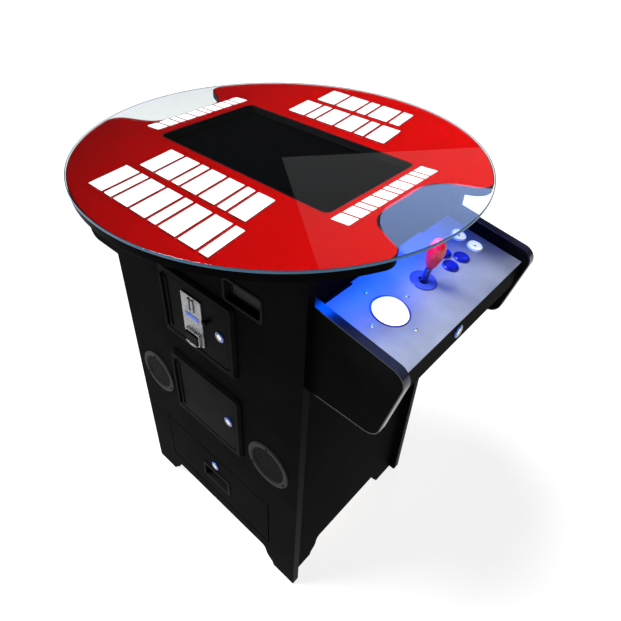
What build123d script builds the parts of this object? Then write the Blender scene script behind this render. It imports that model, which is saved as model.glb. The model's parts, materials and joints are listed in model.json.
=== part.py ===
"""Round-top cocktail arcade cabinet, in millimetres.

Frame: +Z up, origin on the floor under the middle of the glass.  The coin doors are on
the -Y face, and the two players stand at the +X (right) and -X (left) ends.
"""
import math
import os

from build123d import *

# ---------------------------------------------------------------- driving dimensions
TABLE_HEIGHT = 1087.0
GLASS_RADIUS = 419.0
GLASS = 6.0
ART = 0.5
TOP_BOARD = 16.0
WOOD = 18.0
TRIM = 2.0
SHEET = 2.0
RUNNING_FIT = 0.1

BODY_LENGTH = 594.0            # over the trims of the coin-face panels, along X
BODY_WIDTH = 502.0             # over the coin-face panels, along Y
END_FACE_X = 277.0             # outer face of the recessed end panels

GLASS_BOTTOM = TABLE_HEIGHT - GLASS
ART_BOTTOM = GLASS_BOTTOM - ART
BOARD_BOTTOM = ART_BOTTOM - TOP_BOARD
FACE_Y = BODY_WIDTH / 2
INNER_Y = FACE_Y - WOOD
PANEL_HALF_X = BODY_LENGTH / 2 - TRIM
INNER_X = END_FACE_X - WOOD

# table top: the cut-out over each control panel, and the window over the screen
BOARD_RADIUS = GLASS_RADIUS - 4.5
NOTCH_X = 292.0
NOTCH_HALF_WIDTH = 95.0
NOTCH_FLARE = 25.8             # degrees
NOTCH_INNER_RADIUS = 55.0
NOTCH_OUTER_RADIUS = 33.0
WINDOW = (465.0, 269.0)
WINDOW_RADIUS = 15.0

# toe cut-outs between the feet
TOE_HEIGHT = 60.0
SIDE_TOE = (220.0, 175.0)      # half widths at the floor and at the top of the cut-out
END_TOE = (159.0, 121.0)
FOOT_CORNER = 10.0

# coin-face doors: centre height, leaf width and height
COIN_DOOR = (783.0, 201.0, 160.0)
CASH_DOOR = (511.0, 205.0, 171.0)
FRAME_BORDER = 18.0
DOOR_GAP = 2.0
FRAME_PROUD = 9.0
DOOR_PROUD = 8.0
DOOR_CORNER = 8.0
DOOR_RIM = 16.0
ACCESS_SIZE = (402.0, 180.0)
ACCESS_Z = 193.0
ACCESS_GAP = 3.0
PIVOT_UP = 6.0                 # access door pivot above its lower edge
PIVOT_IN = 12.0                # and in front of the panel's inner face
PIVOT_RADIUS = 3.0
PIVOT_LENGTH = 15.0

COIN_LOCK = (78.0, 787.0)
CASH_LOCK = (84.0, 520.0)
ACCESS_LOCK = (0.0, 244.0)
CAM_REACH = 45.0
ACCESS_CAM_REACH = 56.0

PULL = (108.0, 60.0)
UPPER_PULL = (142.0, 918.0)
ACCESS_PULL = (0.0, 185.0)

SPEAKER_X = 205.0
SPEAKER_Z = 467.0
SPEAKER_RADIUS = 63.0

COIN_PLATE_X = -6.0
COIN_PLATE_Z = 783.0
COIN_PLATE = (63.5, 127.0)
REJECT_X = 39.0
REJECT_Z = 804.0

# control boxes, in X and Z: the outline of their side boards
BOX_OUTLINE = ((END_FACE_X, 984.0), (479.0, 946.0), (443.0, 779.0), (END_FACE_X, 779.0))
BOX_TOP_RADIUS = 26.0
BOX_BOTTOM_RADIUS = 28.0
BOX_BOARD = 12.0

# control panel plane: u runs down the slope towards the player, v across, n upwards
SLOPE = 10.25                  # degrees
STICK_X = 362.0
STICK_Z = 942.0
PANEL_REAR_U = -78.0
PANEL_FRONT_U = 100.0
PANEL_HALF_WIDTH = 214.5
HINGE_U = -81.5
HINGE_RADIUS = 3.0
PIN_RADIUS = 1.2

ACTION_BUTTONS = ((12.0, 78.0), (13.0, 119.0), (-18.0, 100.0))
START_BUTTONS = ((13.0, 174.0), (-26.0, 175.0))
BUTTON_HOLE = 14.0
BUTTON_RIM = 16.5
TRACKBALL = (5.0, -113.0)
BALL_RADIUS = 38.1
BALL_DEPTH = 19.0
BOLT_RADIUS = 53.5             # trackball bolts from the ball's centre
PIVOT_DEPTH = 18.0             # joystick pivot under the panel's face
BAT = (36.0, 96.0)             # bat top, lowest and highest point over the panel
PANEL_LOCK_V = -30.0
PANEL_LOCK_Z = 899.0
RAIL_FACE_X = 460.0            # upright rail under the panel's front edge
RAIL_Z = (872.0, 921.9)

SIDES = {"right": 1, "left": -1}

os.makedirs("parts", exist_ok=True)


def save(part, name):
    """Label a finished piece and write it as its own STEP file."""
    part.label = name
    export_step(part, f"parts/{name}.step")


def group(parts):
    """Gather separate solids that share one node."""
    solids = []
    for part in parts:
        solids.extend(part.solids())
    return Compound(children=solids)


def front_plane(x, z, y=-FACE_Y):
    """A plane on the coin face: local x to +X, local y up, normal towards the viewer."""
    return Plane(origin=(x, y, z), x_dir=(1, 0, 0), z_dir=(0, -1, 0))


def panel_plane(side, u=0.0, v=0.0, n=0.0):
    """A plane on a control panel: local x is u, local y is v and the normal is n."""
    cosine = math.cos(math.radians(SLOPE))
    sine = math.sin(math.radians(SLOPE))
    x = side * (STICK_X + u * cosine + n * sine)
    y = side * v
    z = STICK_Z - u * sine + n * cosine
    return Plane(origin=(x, y, z), x_dir=(side * cosine, 0, -sine), z_dir=(side * sine, 0, cosine))


def slab(plane, width, height, depth, radius=0.0):
    """A block that stands on a plane, with its upright corners rounded."""
    with BuildPart() as block:
        with BuildSketch(plane):
            if radius:
                RectangleRounded(width, height, radius)
            else:
                Rectangle(width, height)
        extrude(amount=depth)
    return block.part


def tube(plane, outer, inner, depth):
    """A round tube or ring that stands on a plane."""
    with BuildPart() as ring:
        with BuildSketch(plane):
            Circle(outer)
            if inner:
                Circle(inner, mode=Mode.SUBTRACT)
        extrude(amount=depth)
    return ring.part


# ---------------------------------------------------------------- table top
def board_outline():
    """The round board with a flared cut-out over each control panel."""
    reach = GLASS_RADIUS + 20
    flared = NOTCH_HALF_WIDTH + (reach - NOTCH_X) * math.tan(math.radians(NOTCH_FLARE))
    with BuildSketch() as outline:
        Circle(BOARD_RADIUS)
        for side in SIDES.values():
            with BuildLine():
                Polyline(
                    (side * NOTCH_X, -NOTCH_HALF_WIDTH),
                    (side * reach, -flared),
                    (side * reach, flared),
                    (side * NOTCH_X, NOTCH_HALF_WIDTH),
                    close=True,
                )
            make_face(mode=Mode.SUBTRACT)
        inner = [v for v in outline.vertices() if abs(abs(v.X) - NOTCH_X) < 1]
        fillet(inner, NOTCH_INNER_RADIUS)
        horns = [v for v in outline.vertices() if abs(v.X) > BOARD_RADIUS - 60]
        fillet(horns, NOTCH_OUTER_RADIUS)
    return outline.sketch


TOP_OUTLINE = board_outline()

with BuildPart() as glass_top:
    with BuildSketch(Plane.XY.offset(GLASS_BOTTOM)):
        Circle(GLASS_RADIUS)
    extrude(amount=GLASS)
    fillet(glass_top.edges(), 1.5)
save(glass_top.part, "glass_top")

with BuildPart() as artwork_sheet:
    with BuildSketch(Plane.XY.offset(ART_BOTTOM)):
        add(TOP_OUTLINE)
        RectangleRounded(*WINDOW, WINDOW_RADIUS, mode=Mode.SUBTRACT)
    extrude(amount=ART)
save(artwork_sheet.part, "artwork_sheet")

with BuildPart() as top_board:
    with BuildSketch(Plane.XY.offset(BOARD_BOTTOM)):
        add(TOP_OUTLINE)
        RectangleRounded(*WINDOW, WINDOW_RADIUS, mode=Mode.SUBTRACT)
    extrude(amount=TOP_BOARD)
save(top_board.part, "top_board")

with BuildPart() as top_trim:
    with BuildSketch(Plane.XY.offset(BOARD_BOTTOM)):
        add(TOP_OUTLINE)
        offset(amount=TRIM)
        add(TOP_OUTLINE, mode=Mode.SUBTRACT)
    extrude(amount=TOP_BOARD)

# the liner that hides the edge of the board around the screen
BEZEL_WALL = 3.0
with BuildPart() as screen_bezel:
    with BuildSketch(Plane.XY.offset(BOARD_BOTTOM)):
        RectangleRounded(*WINDOW, WINDOW_RADIUS)
        RectangleRounded(
            WINDOW[0] - 2 * BEZEL_WALL,
            WINDOW[1] - 2 * BEZEL_WALL,
            WINDOW_RADIUS - BEZEL_WALL,
            mode=Mode.SUBTRACT,
        )
    extrude(amount=TOP_BOARD)
save(screen_bezel.part, "screen_bezel")

# flat screen under the window: a thin panel with its electronics box behind
SCREEN = (500.0, 300.0, 16.0)
SCREEN_BACK = (280.0, 180.0, 26.0)
SCREEN_BOTTOM = BOARD_BOTTOM - SCREEN[2]
with BuildPart() as screen_panel:
    with BuildSketch(Plane.XY.offset(SCREEN_BOTTOM)):
        RectangleRounded(SCREEN[0], SCREEN[1], 5)
    extrude(amount=SCREEN[2])
    with BuildSketch(Plane.XY.offset(SCREEN_BOTTOM)):
        RectangleRounded(SCREEN_BACK[0], SCREEN_BACK[1], 8)
    extrude(amount=-SCREEN_BACK[2])
save(screen_panel.part, "screen_panel")

# two folded steel bars carry the screen between the coin-face panels
BAR_WIDTH = 30.0
BAR_X = 190.0
BAR_FLANGE = 40.0
bars = []
for bar_x in (-BAR_X, BAR_X):
    with BuildPart() as bar:
        with BuildSketch(Plane.YZ.offset(bar_x - BAR_WIDTH / 2)):
            with BuildLine():
                Polyline(
                    (-INNER_Y, SCREEN_BOTTOM - BAR_FLANGE),
                    (-INNER_Y, SCREEN_BOTTOM),
                    (INNER_Y, SCREEN_BOTTOM),
                    (INNER_Y, SCREEN_BOTTOM - BAR_FLANGE),
                    (INNER_Y - SHEET, SCREEN_BOTTOM - BAR_FLANGE),
                    (INNER_Y - SHEET, SCREEN_BOTTOM - SHEET),
                    (-INNER_Y + SHEET, SCREEN_BOTTOM - SHEET),
                    (-INNER_Y + SHEET, SCREEN_BOTTOM - BAR_FLANGE),
                    close=True,
                )
            make_face()
        extrude(amount=BAR_WIDTH)
    bars.append(bar.part)
save(group(bars), "screen_brackets")


# ---------------------------------------------------------------- cabinet boards
def toe_cutout(foot, top):
    """Half of it is a curve from the foot to the flat top, the other half its mirror."""
    middle = (foot + top) / 2
    with BuildSketch() as cutout:
        with BuildLine():
            rise = Spline((foot, 0), (middle, TOE_HEIGHT / 2), (top, TOE_HEIGHT), tangents=((0, 1), (-1, 0)))
            Line(rise @ 1, (0, TOE_HEIGHT))
            Line((0, TOE_HEIGHT), (0, 0))
            Line((0, 0), rise @ 0)
        make_face()
        mirror(about=Plane.YZ)
    return cutout.sketch


SIDE_CUTOUT = toe_cutout(*SIDE_TOE)
END_CUTOUT = toe_cutout(*END_TOE)


def side_outline():
    with BuildSketch() as outline:
        with Locations((0, BOARD_BOTTOM / 2)):
            Rectangle(2 * PANEL_HALF_X, BOARD_BOTTOM)
        fillet(outline.vertices().group_by(Axis.Y)[0], FOOT_CORNER)
    return outline.sketch


SIDE_OUTLINE = side_outline()
WOOD_COIN = (COIN_DOOR[1] + 2 * DOOR_GAP + 4, COIN_DOOR[2] + 2 * DOOR_GAP + 4)
WOOD_CASH = (CASH_DOOR[1] + 2 * DOOR_GAP + 4, CASH_DOOR[2] + 2 * DOOR_GAP + 4)
SPEAKER_HOLE = 50.0
PULL_POCKET = (PULL[0] - 8, PULL[1] - 8)
PIVOT_Y = -INNER_Y - PIVOT_IN
PIVOT_Z = ACCESS_Z - ACCESS_SIZE[1] / 2 + PIVOT_UP
INLET = (-150.0, 150.0)
INLET_BODY = (28.0, 20.0)

with BuildPart() as front_side_panel:
    with BuildSketch(front_plane(0, 0)):
        add(SIDE_OUTLINE)
        add(SIDE_CUTOUT, mode=Mode.SUBTRACT)
        with Locations((0, COIN_DOOR[0])):
            Rectangle(*WOOD_COIN, mode=Mode.SUBTRACT)
        with Locations((0, CASH_DOOR[0])):
            Rectangle(*WOOD_CASH, mode=Mode.SUBTRACT)
        with Locations((0, ACCESS_Z)):
            Rectangle(
                ACCESS_SIZE[0] + 2 * ACCESS_GAP, ACCESS_SIZE[1] + 2 * ACCESS_GAP, mode=Mode.SUBTRACT
            )
        with Locations((-SPEAKER_X, SPEAKER_Z), (SPEAKER_X, SPEAKER_Z)):
            Circle(SPEAKER_HOLE, mode=Mode.SUBTRACT)
        with Locations(UPPER_PULL):
            Rectangle(*PULL_POCKET, mode=Mode.SUBTRACT)
    extrude(amount=-WOOD)
    pivot_x = ACCESS_SIZE[0] / 2 + ACCESS_GAP
    for pivot_side in (-1, 1):
        with BuildSketch(Plane.YZ.offset(pivot_side * pivot_x)):
            with Locations((PIVOT_Y, PIVOT_Z)):
                Circle(PIVOT_RADIUS)
        extrude(amount=pivot_side * PIVOT_LENGTH, mode=Mode.SUBTRACT)
save(front_side_panel.part, "front_side_panel")

with BuildPart() as rear_side_panel:
    with BuildSketch(front_plane(0, 0, INNER_Y)):
        add(SIDE_OUTLINE)
        add(SIDE_CUTOUT, mode=Mode.SUBTRACT)
        with Locations(INLET):
            Rectangle(*INLET_BODY, mode=Mode.SUBTRACT)
    extrude(amount=-WOOD)
save(rear_side_panel.part, "rear_side_panel")

CABLE_HOLE = (160.0, 50.0)
CABLE_HOLE_Z = 876.0
for name, side in SIDES.items():
    with BuildPart() as end_panel:
        with BuildSketch(Plane.YZ.offset(side * INNER_X)):
            with Locations((0, BOARD_BOTTOM / 2)):
                Rectangle(2 * INNER_Y, BOARD_BOTTOM)
            add(END_CUTOUT, mode=Mode.SUBTRACT)
            with Locations((0, CABLE_HOLE_Z)):
                RectangleRounded(*CABLE_HOLE, 12, mode=Mode.SUBTRACT)
        extrude(amount=side * WOOD)
    save(end_panel.part, f"{name}_end_panel")

FLOOR_Z = TOE_HEIGHT + 2
SHELF_Z = 396.0
SHELF_DEPTH = 200.0
BOARD = 16.0
floor_board = slab(Plane.XY.offset(FLOOR_Z), 2 * INNER_X, 2 * INNER_Y, BOARD)
shelf_plane = Plane(origin=(0, SHELF_DEPTH / 2 - INNER_Y, SHELF_Z))
cash_shelf = slab(shelf_plane, 2 * INNER_X, SHELF_DEPTH, BOARD)
save(group([floor_board, cash_shelf]), "inner_boards")

# ---------------------------------------------------------------- control boxes
with BuildSketch() as box_outline:
    with BuildLine():
        Polyline(*BOX_OUTLINE, close=True)
    make_face()
    front_corners = box_outline.vertices().sort_by(Axis.X)[2:]
    fillet(front_corners.sort_by(Axis.Y)[1], BOX_TOP_RADIUS)
    fillet(box_outline.vertices().group_by(Axis.Y)[0].sort_by(Axis.X)[-1], BOX_BOTTOM_RADIUS)
BOX_SKETCH = box_outline.sketch


def box_plane(side, y):
    """A plane across the cabinet at y, with its local x running out towards one player."""
    return Plane(origin=(0, y, 0), x_dir=(side, 0, 0), z_dir=(0, -side, 0))


box_sides = []
trims = [top_trim.part]
for side in SIDES.values():
    for board_y in (-INNER_Y, INNER_Y - WOOD):
        depth = -side * WOOD
        with BuildPart() as box_side:
            with BuildSketch(box_plane(side, board_y)):
                add(BOX_SKETCH)
            extrude(amount=depth)
        box_sides.append(box_side.part)
        with BuildPart() as box_trim:
            with BuildSketch(box_plane(side, board_y)):
                add(BOX_SKETCH)
                offset(amount=TRIM)
                add(BOX_SKETCH, mode=Mode.SUBTRACT)
                with Locations((END_FACE_X - 5, 890)):
                    Rectangle(10, 240, mode=Mode.SUBTRACT)
            extrude(amount=depth)
        trims.append(box_trim.part)
save(group(box_sides), "control_box_sides")

for panel_y in (-FACE_Y, INNER_Y):
    for side in SIDES.values():
        with BuildPart() as edge_trim:
            with BuildSketch(front_plane(0, 0, panel_y)):
                add(SIDE_OUTLINE)
                offset(amount=TRIM)
                add(SIDE_OUTLINE, mode=Mode.SUBTRACT)
                with Locations((-side * 20, BOARD_BOTTOM / 2)):
                    Rectangle(2 * PANEL_HALF_X + 20, BOARD_BOTTOM + 20, mode=Mode.SUBTRACT)
                with Locations((0, -TRIM)):
                    Rectangle(2 * BODY_LENGTH, 2 * TRIM, mode=Mode.SUBTRACT)
                with Locations((0, BOARD_BOTTOM + TRIM)):
                    Rectangle(2 * BODY_LENGTH, 2 * TRIM, mode=Mode.SUBTRACT)
            extrude(amount=-WOOD)
        trims.append(edge_trim.part)
save(group(trims), "edge_trims")

TRAY_BOTTOM = 822.0
TRAY_FRONT = 433.0
BOX_INNER = 2 * (INNER_Y - WOOD)
LOCK_BODY = 9.5
box_boards = []
for side in SIDES.values():
    rail_face = Plane(origin=(side * RAIL_FACE_X, 0, 0), x_dir=(0, side, 0), z_dir=(side, 0, 0))
    with BuildPart() as rail:
        with BuildSketch(rail_face):
            with Locations((0, sum(RAIL_Z) / 2)):
                Rectangle(BOX_INNER, RAIL_Z[1] - RAIL_Z[0])
            with Locations((PANEL_LOCK_V, PANEL_LOCK_Z)):
                Circle(LOCK_BODY, mode=Mode.SUBTRACT)
        extrude(amount=-BOX_BOARD)
    box_boards.append(rail.part)
    tray_top = TRAY_BOTTOM + BOX_BOARD
    tray = (
        (END_FACE_X, TRAY_BOTTOM),
        (TRAY_FRONT, TRAY_BOTTOM),
        (TRAY_FRONT, tray_top),
        (END_FACE_X, tray_top),
    )
    riser = (
        (TRAY_FRONT - BOX_BOARD, tray_top),
        (TRAY_FRONT, tray_top),
        (RAIL_FACE_X, RAIL_Z[0]),
        (RAIL_FACE_X - BOX_BOARD, RAIL_Z[0]),
    )
    for outline in (tray, riser):
        with BuildPart() as board:
            with BuildSketch(box_plane(side, -side * BOX_INNER / 2)):
                with BuildLine():
                    Polyline(*outline, close=True)
                make_face()
            extrude(amount=-BOX_INNER)
        box_boards.append(board.part)
save(group(box_boards), "control_box_boards")


# ---------------------------------------------------------------- hinges
HINGE_GAP = 0.4


def knuckles(axis_plane, length, moving):
    """Five knuckles along the local z of a plane: the second and fourth ones move."""
    pitch = length / 5
    parts = []
    for index in range(5):
        if (index % 2 == 1) != moving:
            continue
        start = -length / 2 + index * pitch + HINGE_GAP / 2
        bore = PIN_RADIUS + RUNNING_FIT / 2 if moving else 0
        parts.append(tube(axis_plane.offset(start), HINGE_RADIUS, bore, pitch - HINGE_GAP))
    return parts


def pin(axis_plane, length):
    return tube(axis_plane.offset(-length / 2), PIN_RADIUS, 0, length)


def leaf(axis_plane, length, moving, lift, reach, thickness):
    """The flat part of a hinge, one strip for each knuckle, joined by a plate."""
    direction = 1 if moving else -1
    pitch = length / 5
    near = HINGE_RADIUS + HINGE_GAP
    parts = []
    for index in range(5):
        if (index % 2 == 1) != moving:
            continue
        start = -length / 2 + index * pitch + HINGE_GAP / 2
        with BuildPart() as strip:
            with BuildSketch(axis_plane.offset(start)):
                with Locations((direction * (near + 1) / 2, lift)):
                    Rectangle(near + 1, thickness)
            extrude(amount=pitch - HINGE_GAP)
        parts.append(strip.part)
    with BuildPart() as plate:
        with BuildSketch(axis_plane.offset(-length / 2)):
            with Locations((direction * (near + reach) / 2, lift)):
                Rectangle(reach - near, thickness)
        extrude(amount=length)
    parts.append(plate.part)
    return parts


LEAF = 1.2
HINGE_Y = -FACE_Y - FRAME_PROUD - HINGE_RADIUS - RUNNING_FIT
fixed_hinges = []


def door_hinge_plane(door):
    x = -door[1] / 2 - DOOR_GAP / 2
    return Plane(origin=(x, HINGE_Y, door[0]), x_dir=(1, 0, 0), z_dir=(0, 0, 1))


for door in (COIN_DOOR, CASH_DOOR):
    length = door[2] - 20
    plane = door_hinge_plane(door)
    lift = -FACE_Y - FRAME_PROUD - LEAF / 2 - HINGE_Y
    with BuildPart() as door_hinge:
        add(knuckles(plane, length, False))
        add(leaf(plane, length, False, lift, FRAME_BORDER - 6, LEAF))
        add(pin(plane, length))
    fixed_hinges.append(door_hinge.part)

PANEL_HINGE_LENGTH = 380.0


def panel_hinge_plane(side):
    """Local z runs along v, local x along u and local y against n."""
    middle = panel_plane(side, HINGE_U, 0, -HINGE_RADIUS)
    return Plane(origin=middle.origin, x_dir=middle.x_dir, z_dir=(0, side, 0))


FIXED_LEAF_DROP = 24.0
for side in SIDES.values():
    plane = panel_hinge_plane(side)
    hinge_x = abs(plane.origin.X)
    hinge_z = plane.origin.Z
    with BuildPart() as panel_hinge:
        add(knuckles(plane, PANEL_HINGE_LENGTH, False))
        add(pin(plane, PANEL_HINGE_LENGTH))
        leaf_x = side * (END_FACE_X + LEAF / 2)
        leaf_z = hinge_z - FIXED_LEAF_DROP / 2
        leaf_plane = Plane(origin=(leaf_x - LEAF / 2, 0, leaf_z), x_dir=(0, 1, 0), z_dir=(1, 0, 0))
        add(slab(leaf_plane, PANEL_HINGE_LENGTH, FIXED_LEAF_DROP, LEAF))
        for index in (0, 2, 4):
            pitch = PANEL_HINGE_LENGTH / 5
            y = -PANEL_HINGE_LENGTH / 2 + (index + 0.5) * pitch
            web_x = (END_FACE_X + hinge_x) / 2
            web_plane = Plane(origin=(side * web_x, y, hinge_z - LEAF))
            add(slab(web_plane, hinge_x - END_FACE_X, pitch - HINGE_GAP, LEAF))
    fixed_hinges.append(panel_hinge.part)

for pivot_side in (-1, 1):
    x = pivot_side * (ACCESS_SIZE[0] / 2 + ACCESS_GAP + PIVOT_LENGTH)
    plane = Plane(origin=(x, PIVOT_Y, PIVOT_Z), x_dir=(0, 1, 0), z_dir=(-pivot_side, 0, 0))
    fixed_hinges.append(tube(plane, PIVOT_RADIUS, 0, 2 * PIVOT_LENGTH))
save(group(fixed_hinges), "fixed_hinges")

# ---------------------------------------------------------------- steel doors and frames
frames = []
for door in (COIN_DOOR, CASH_DOOR):
    inner = (door[1] + 2 * DOOR_GAP, door[2] + 2 * DOOR_GAP)
    with BuildPart() as door_frame:
        with BuildSketch(front_plane(0, door[0])):
            RectangleRounded(inner[0] + 2 * FRAME_BORDER, inner[1] + 2 * FRAME_BORDER, 12)
        extrude(amount=FRAME_PROUD)
        chamfer(door_frame.edges().group_by(Axis.Y)[0], 6)
        with BuildSketch(front_plane(0, door[0])):
            Rectangle(inner[0] + 4, inner[1] + 4)
        extrude(amount=-WOOD)
        with BuildSketch(front_plane(0, door[0], -FACE_Y - FRAME_PROUD)):
            RectangleRounded(*inner, DOOR_CORNER)
        extrude(amount=-WOOD - FRAME_PROUD, mode=Mode.SUBTRACT)
    frames.append(door_frame.part)
save(group(frames), "door_frames")


def steel_door(door):
    """A folded door pan with a moving hinge leaf welded to its left edge."""
    hinge = door_hinge_plane(door)
    length = door[2] - 20
    moving = knuckles(hinge, length, True)
    lift = -FACE_Y - FRAME_PROUD - LEAF / 2 - HINGE_Y
    strips = leaf(hinge, length, True, lift, 14, LEAF)
    with BuildPart() as pan:
        with BuildSketch(front_plane(0, door[0], -FACE_Y - DOOR_PROUD)):
            RectangleRounded(door[1], door[2], DOOR_CORNER)
        extrude(amount=-DOOR_RIM)
        with BuildSketch(front_plane(0, door[0], -FACE_Y - DOOR_PROUD + SHEET)):
            RectangleRounded(door[1] - 2 * SHEET, door[2] - 2 * SHEET, DOOR_CORNER - SHEET)
        extrude(amount=-DOOR_RIM, mode=Mode.SUBTRACT)
        add(moving)
        add(strips)
        pad = slab(front_plane(-door[1] / 2 + 8, door[0], -FACE_Y - DOOR_PROUD), 8, length, 1.2)
        add(pad)
    return pan.part


ACCEPTOR_HOLE = (52.0, 118.0)
REJECT_STEM = 4.0
with BuildPart() as coin_door:
    add(steel_door(COIN_DOOR))
    with BuildSketch(front_plane(0, 0, -FACE_Y - DOOR_PROUD)):
        with Locations((COIN_PLATE_X, COIN_PLATE_Z)):
            Rectangle(*ACCEPTOR_HOLE)
        with Locations(COIN_LOCK):
            Circle(LOCK_BODY)
        with Locations((REJECT_X, REJECT_Z)):
            Circle(REJECT_STEM + RUNNING_FIT)
    extrude(amount=-SHEET, mode=Mode.SUBTRACT)
save(coin_door.part, "coin_door")

with BuildPart() as cash_door:
    add(steel_door(CASH_DOOR))
    with BuildSketch(front_plane(*CASH_LOCK, -FACE_Y - DOOR_PROUD)):
        Circle(LOCK_BODY)
    extrude(amount=-SHEET, mode=Mode.SUBTRACT)
save(cash_door.part, "cash_door")

# ---------------------------------------------------------------- cam locks
LOCK_FLANGE = 11.5
LOCK_PLUG = 6.5
CAM = (12.0, 2.0)


def lock_body(plane, length, hole_depth):
    """The fixed barrel: a flange on the face, the barrel behind it and its nut."""
    with BuildPart() as body:
        with BuildSketch(plane):
            Circle(LOCK_FLANGE)
        extrude(amount=3)
        fillet(body.faces().sort_by(Axis(plane.origin, plane.z_dir))[-1].edges(), 1)
        with BuildSketch(plane):
            Circle(LOCK_BODY)
        extrude(amount=-length)
        with BuildSketch(plane.offset(-hole_depth)):
            RegularPolygon(14, 6)
        extrude(amount=-4)
        with BuildSketch(plane.offset(3)):
            Circle(LOCK_PLUG + RUNNING_FIT)
        extrude(amount=-length - 3, mode=Mode.SUBTRACT)
    return body.part


def lock_cam(plane, length, reach):
    """The turning plug with its key slot, and the cam on its inner end."""
    with BuildPart() as cam:
        with BuildSketch(plane.offset(2.5)):
            Circle(LOCK_PLUG)
        extrude(amount=-length - 2.5 - 0.3)
        with BuildSketch(plane.offset(-length - 0.3)) as blade:
            with Locations((0, reach / 2 - 4)):
                Rectangle(CAM[0], reach + 8)
            fillet(blade.vertices(), 4)
        extrude(amount=-CAM[1])
        with BuildSketch(plane.offset(2.5)):
            Rectangle(1.2, 8)
        extrude(amount=-2, mode=Mode.SUBTRACT)
    return cam.part


DOOR_LOCK_LENGTH = DOOR_PROUD + WOOD + 1
ACCESS_LOCK_LENGTH = WOOD + 6
for prefix, place in (("coin_door", COIN_LOCK), ("cash_door", CASH_LOCK)):
    plane = front_plane(*place, -FACE_Y - DOOR_PROUD)
    save(lock_body(plane, DOOR_LOCK_LENGTH, SHEET), f"{prefix}_lock")
    save(lock_cam(plane, DOOR_LOCK_LENGTH, CAM_REACH), f"{prefix}_cam")

access_lock_plane = front_plane(*ACCESS_LOCK)
save(lock_body(access_lock_plane, ACCESS_LOCK_LENGTH, WOOD), "access_door_lock")
sideways = Plane(origin=access_lock_plane.origin, x_dir=(0, 0, 1), z_dir=(0, -1, 0))
save(lock_cam(sideways, ACCESS_LOCK_LENGTH, ACCESS_CAM_REACH), "access_door_cam")

# ---------------------------------------------------------------- coin mechanism
CUP_Z = 736.0
CUP = (46.0, 34.0)
CUP_PROUD = 12.0
CUP_WALL = 4.0
CUP_DEPTH = 30.0
PLATE = 3.0
FLAP_AXLE = 1.5
PLATE_Y = -FACE_Y - DOOR_PROUD
FLAP_Y = PLATE_Y - PLATE - CUP_PROUD + 4
FLAP_Z = CUP_Z + CUP[1] / 2 - CUP_WALL - 3
with BuildPart() as coin_acceptor:
    with BuildSketch(front_plane(COIN_PLATE_X, COIN_PLATE_Z, PLATE_Y)):
        RectangleRounded(*COIN_PLATE, 3)
    extrude(amount=PLATE)
    with BuildSketch(front_plane(COIN_PLATE_X, COIN_PLATE_Z, PLATE_Y)):
        Rectangle(ACCEPTOR_HOLE[0] - 1, ACCEPTOR_HOLE[1] - 1)
    extrude(amount=-70)
    with BuildSketch(front_plane(COIN_PLATE_X, CUP_Z, PLATE_Y - PLATE)):
        RectangleRounded(*CUP, 3)
    extrude(amount=CUP_PROUD)
    with BuildSketch(front_plane(COIN_PLATE_X, CUP_Z, PLATE_Y - PLATE - CUP_PROUD)):
        Rectangle(CUP[0] - 2 * CUP_WALL, CUP[1] - 2 * CUP_WALL)
    extrude(amount=-CUP_DEPTH - CUP_PROUD, mode=Mode.SUBTRACT)
    with BuildSketch(front_plane(COIN_PLATE_X, COIN_PLATE_Z + 40, PLATE_Y - PLATE)):
        Rectangle(3.5, 30)
    extrude(amount=-20, mode=Mode.SUBTRACT)
    axle_plane = Plane(origin=(COIN_PLATE_X, FLAP_Y, FLAP_Z), x_dir=(0, 1, 0), z_dir=(1, 0, 0))
    with BuildSketch(axle_plane.offset(-CUP[0] / 2 + 1)):
        Circle(FLAP_AXLE + RUNNING_FIT / 2)
    extrude(amount=CUP[0] - 2, mode=Mode.SUBTRACT)
save(coin_acceptor.part, "coin_acceptor")

FLAP_LENGTH = FLAP_Z - (CUP_Z - CUP[1] / 2 + CUP_WALL) - 1
with BuildPart() as coin_return_flap:
    with BuildSketch(axle_plane.offset(-CUP[0] / 2 + 1.3)):
        Circle(FLAP_AXLE)
    extrude(amount=CUP[0] - 2.6)
    with BuildSketch(front_plane(COIN_PLATE_X, FLAP_Z - FLAP_LENGTH / 2, FLAP_Y + 0.8)):
        Rectangle(CUP[0] - 2 * CUP_WALL - 1, FLAP_LENGTH)
    extrude(amount=1.6)
save(coin_return_flap.part, "coin_return_flap")

with BuildPart() as reject_button:
    with BuildSketch(front_plane(REJECT_X, REJECT_Z, PLATE_Y - 4.5)):
        Circle(7.5)
    extrude(amount=5)
    fillet(reject_button.faces().sort_by(Axis.Y)[0].edges(), 2)
    with BuildSketch(front_plane(REJECT_X, REJECT_Z, PLATE_Y - 4.5)):
        Circle(REJECT_STEM)
    extrude(amount=-14)
save(reject_button.part, "reject_button")

CASH_BOX = (180.0, 140.0, 140.0)
with BuildPart() as cash_box:
    with BuildSketch(Plane(origin=(0, -INNER_Y + 12 + CASH_BOX[1] / 2, SHELF_Z + BOARD))):
        RectangleRounded(CASH_BOX[0], CASH_BOX[1], 4)
    extrude(amount=CASH_BOX[2])
    offset(amount=-SHEET, openings=cash_box.faces().sort_by(Axis.Z)[-1])
save(cash_box.part, "cash_box")


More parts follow.
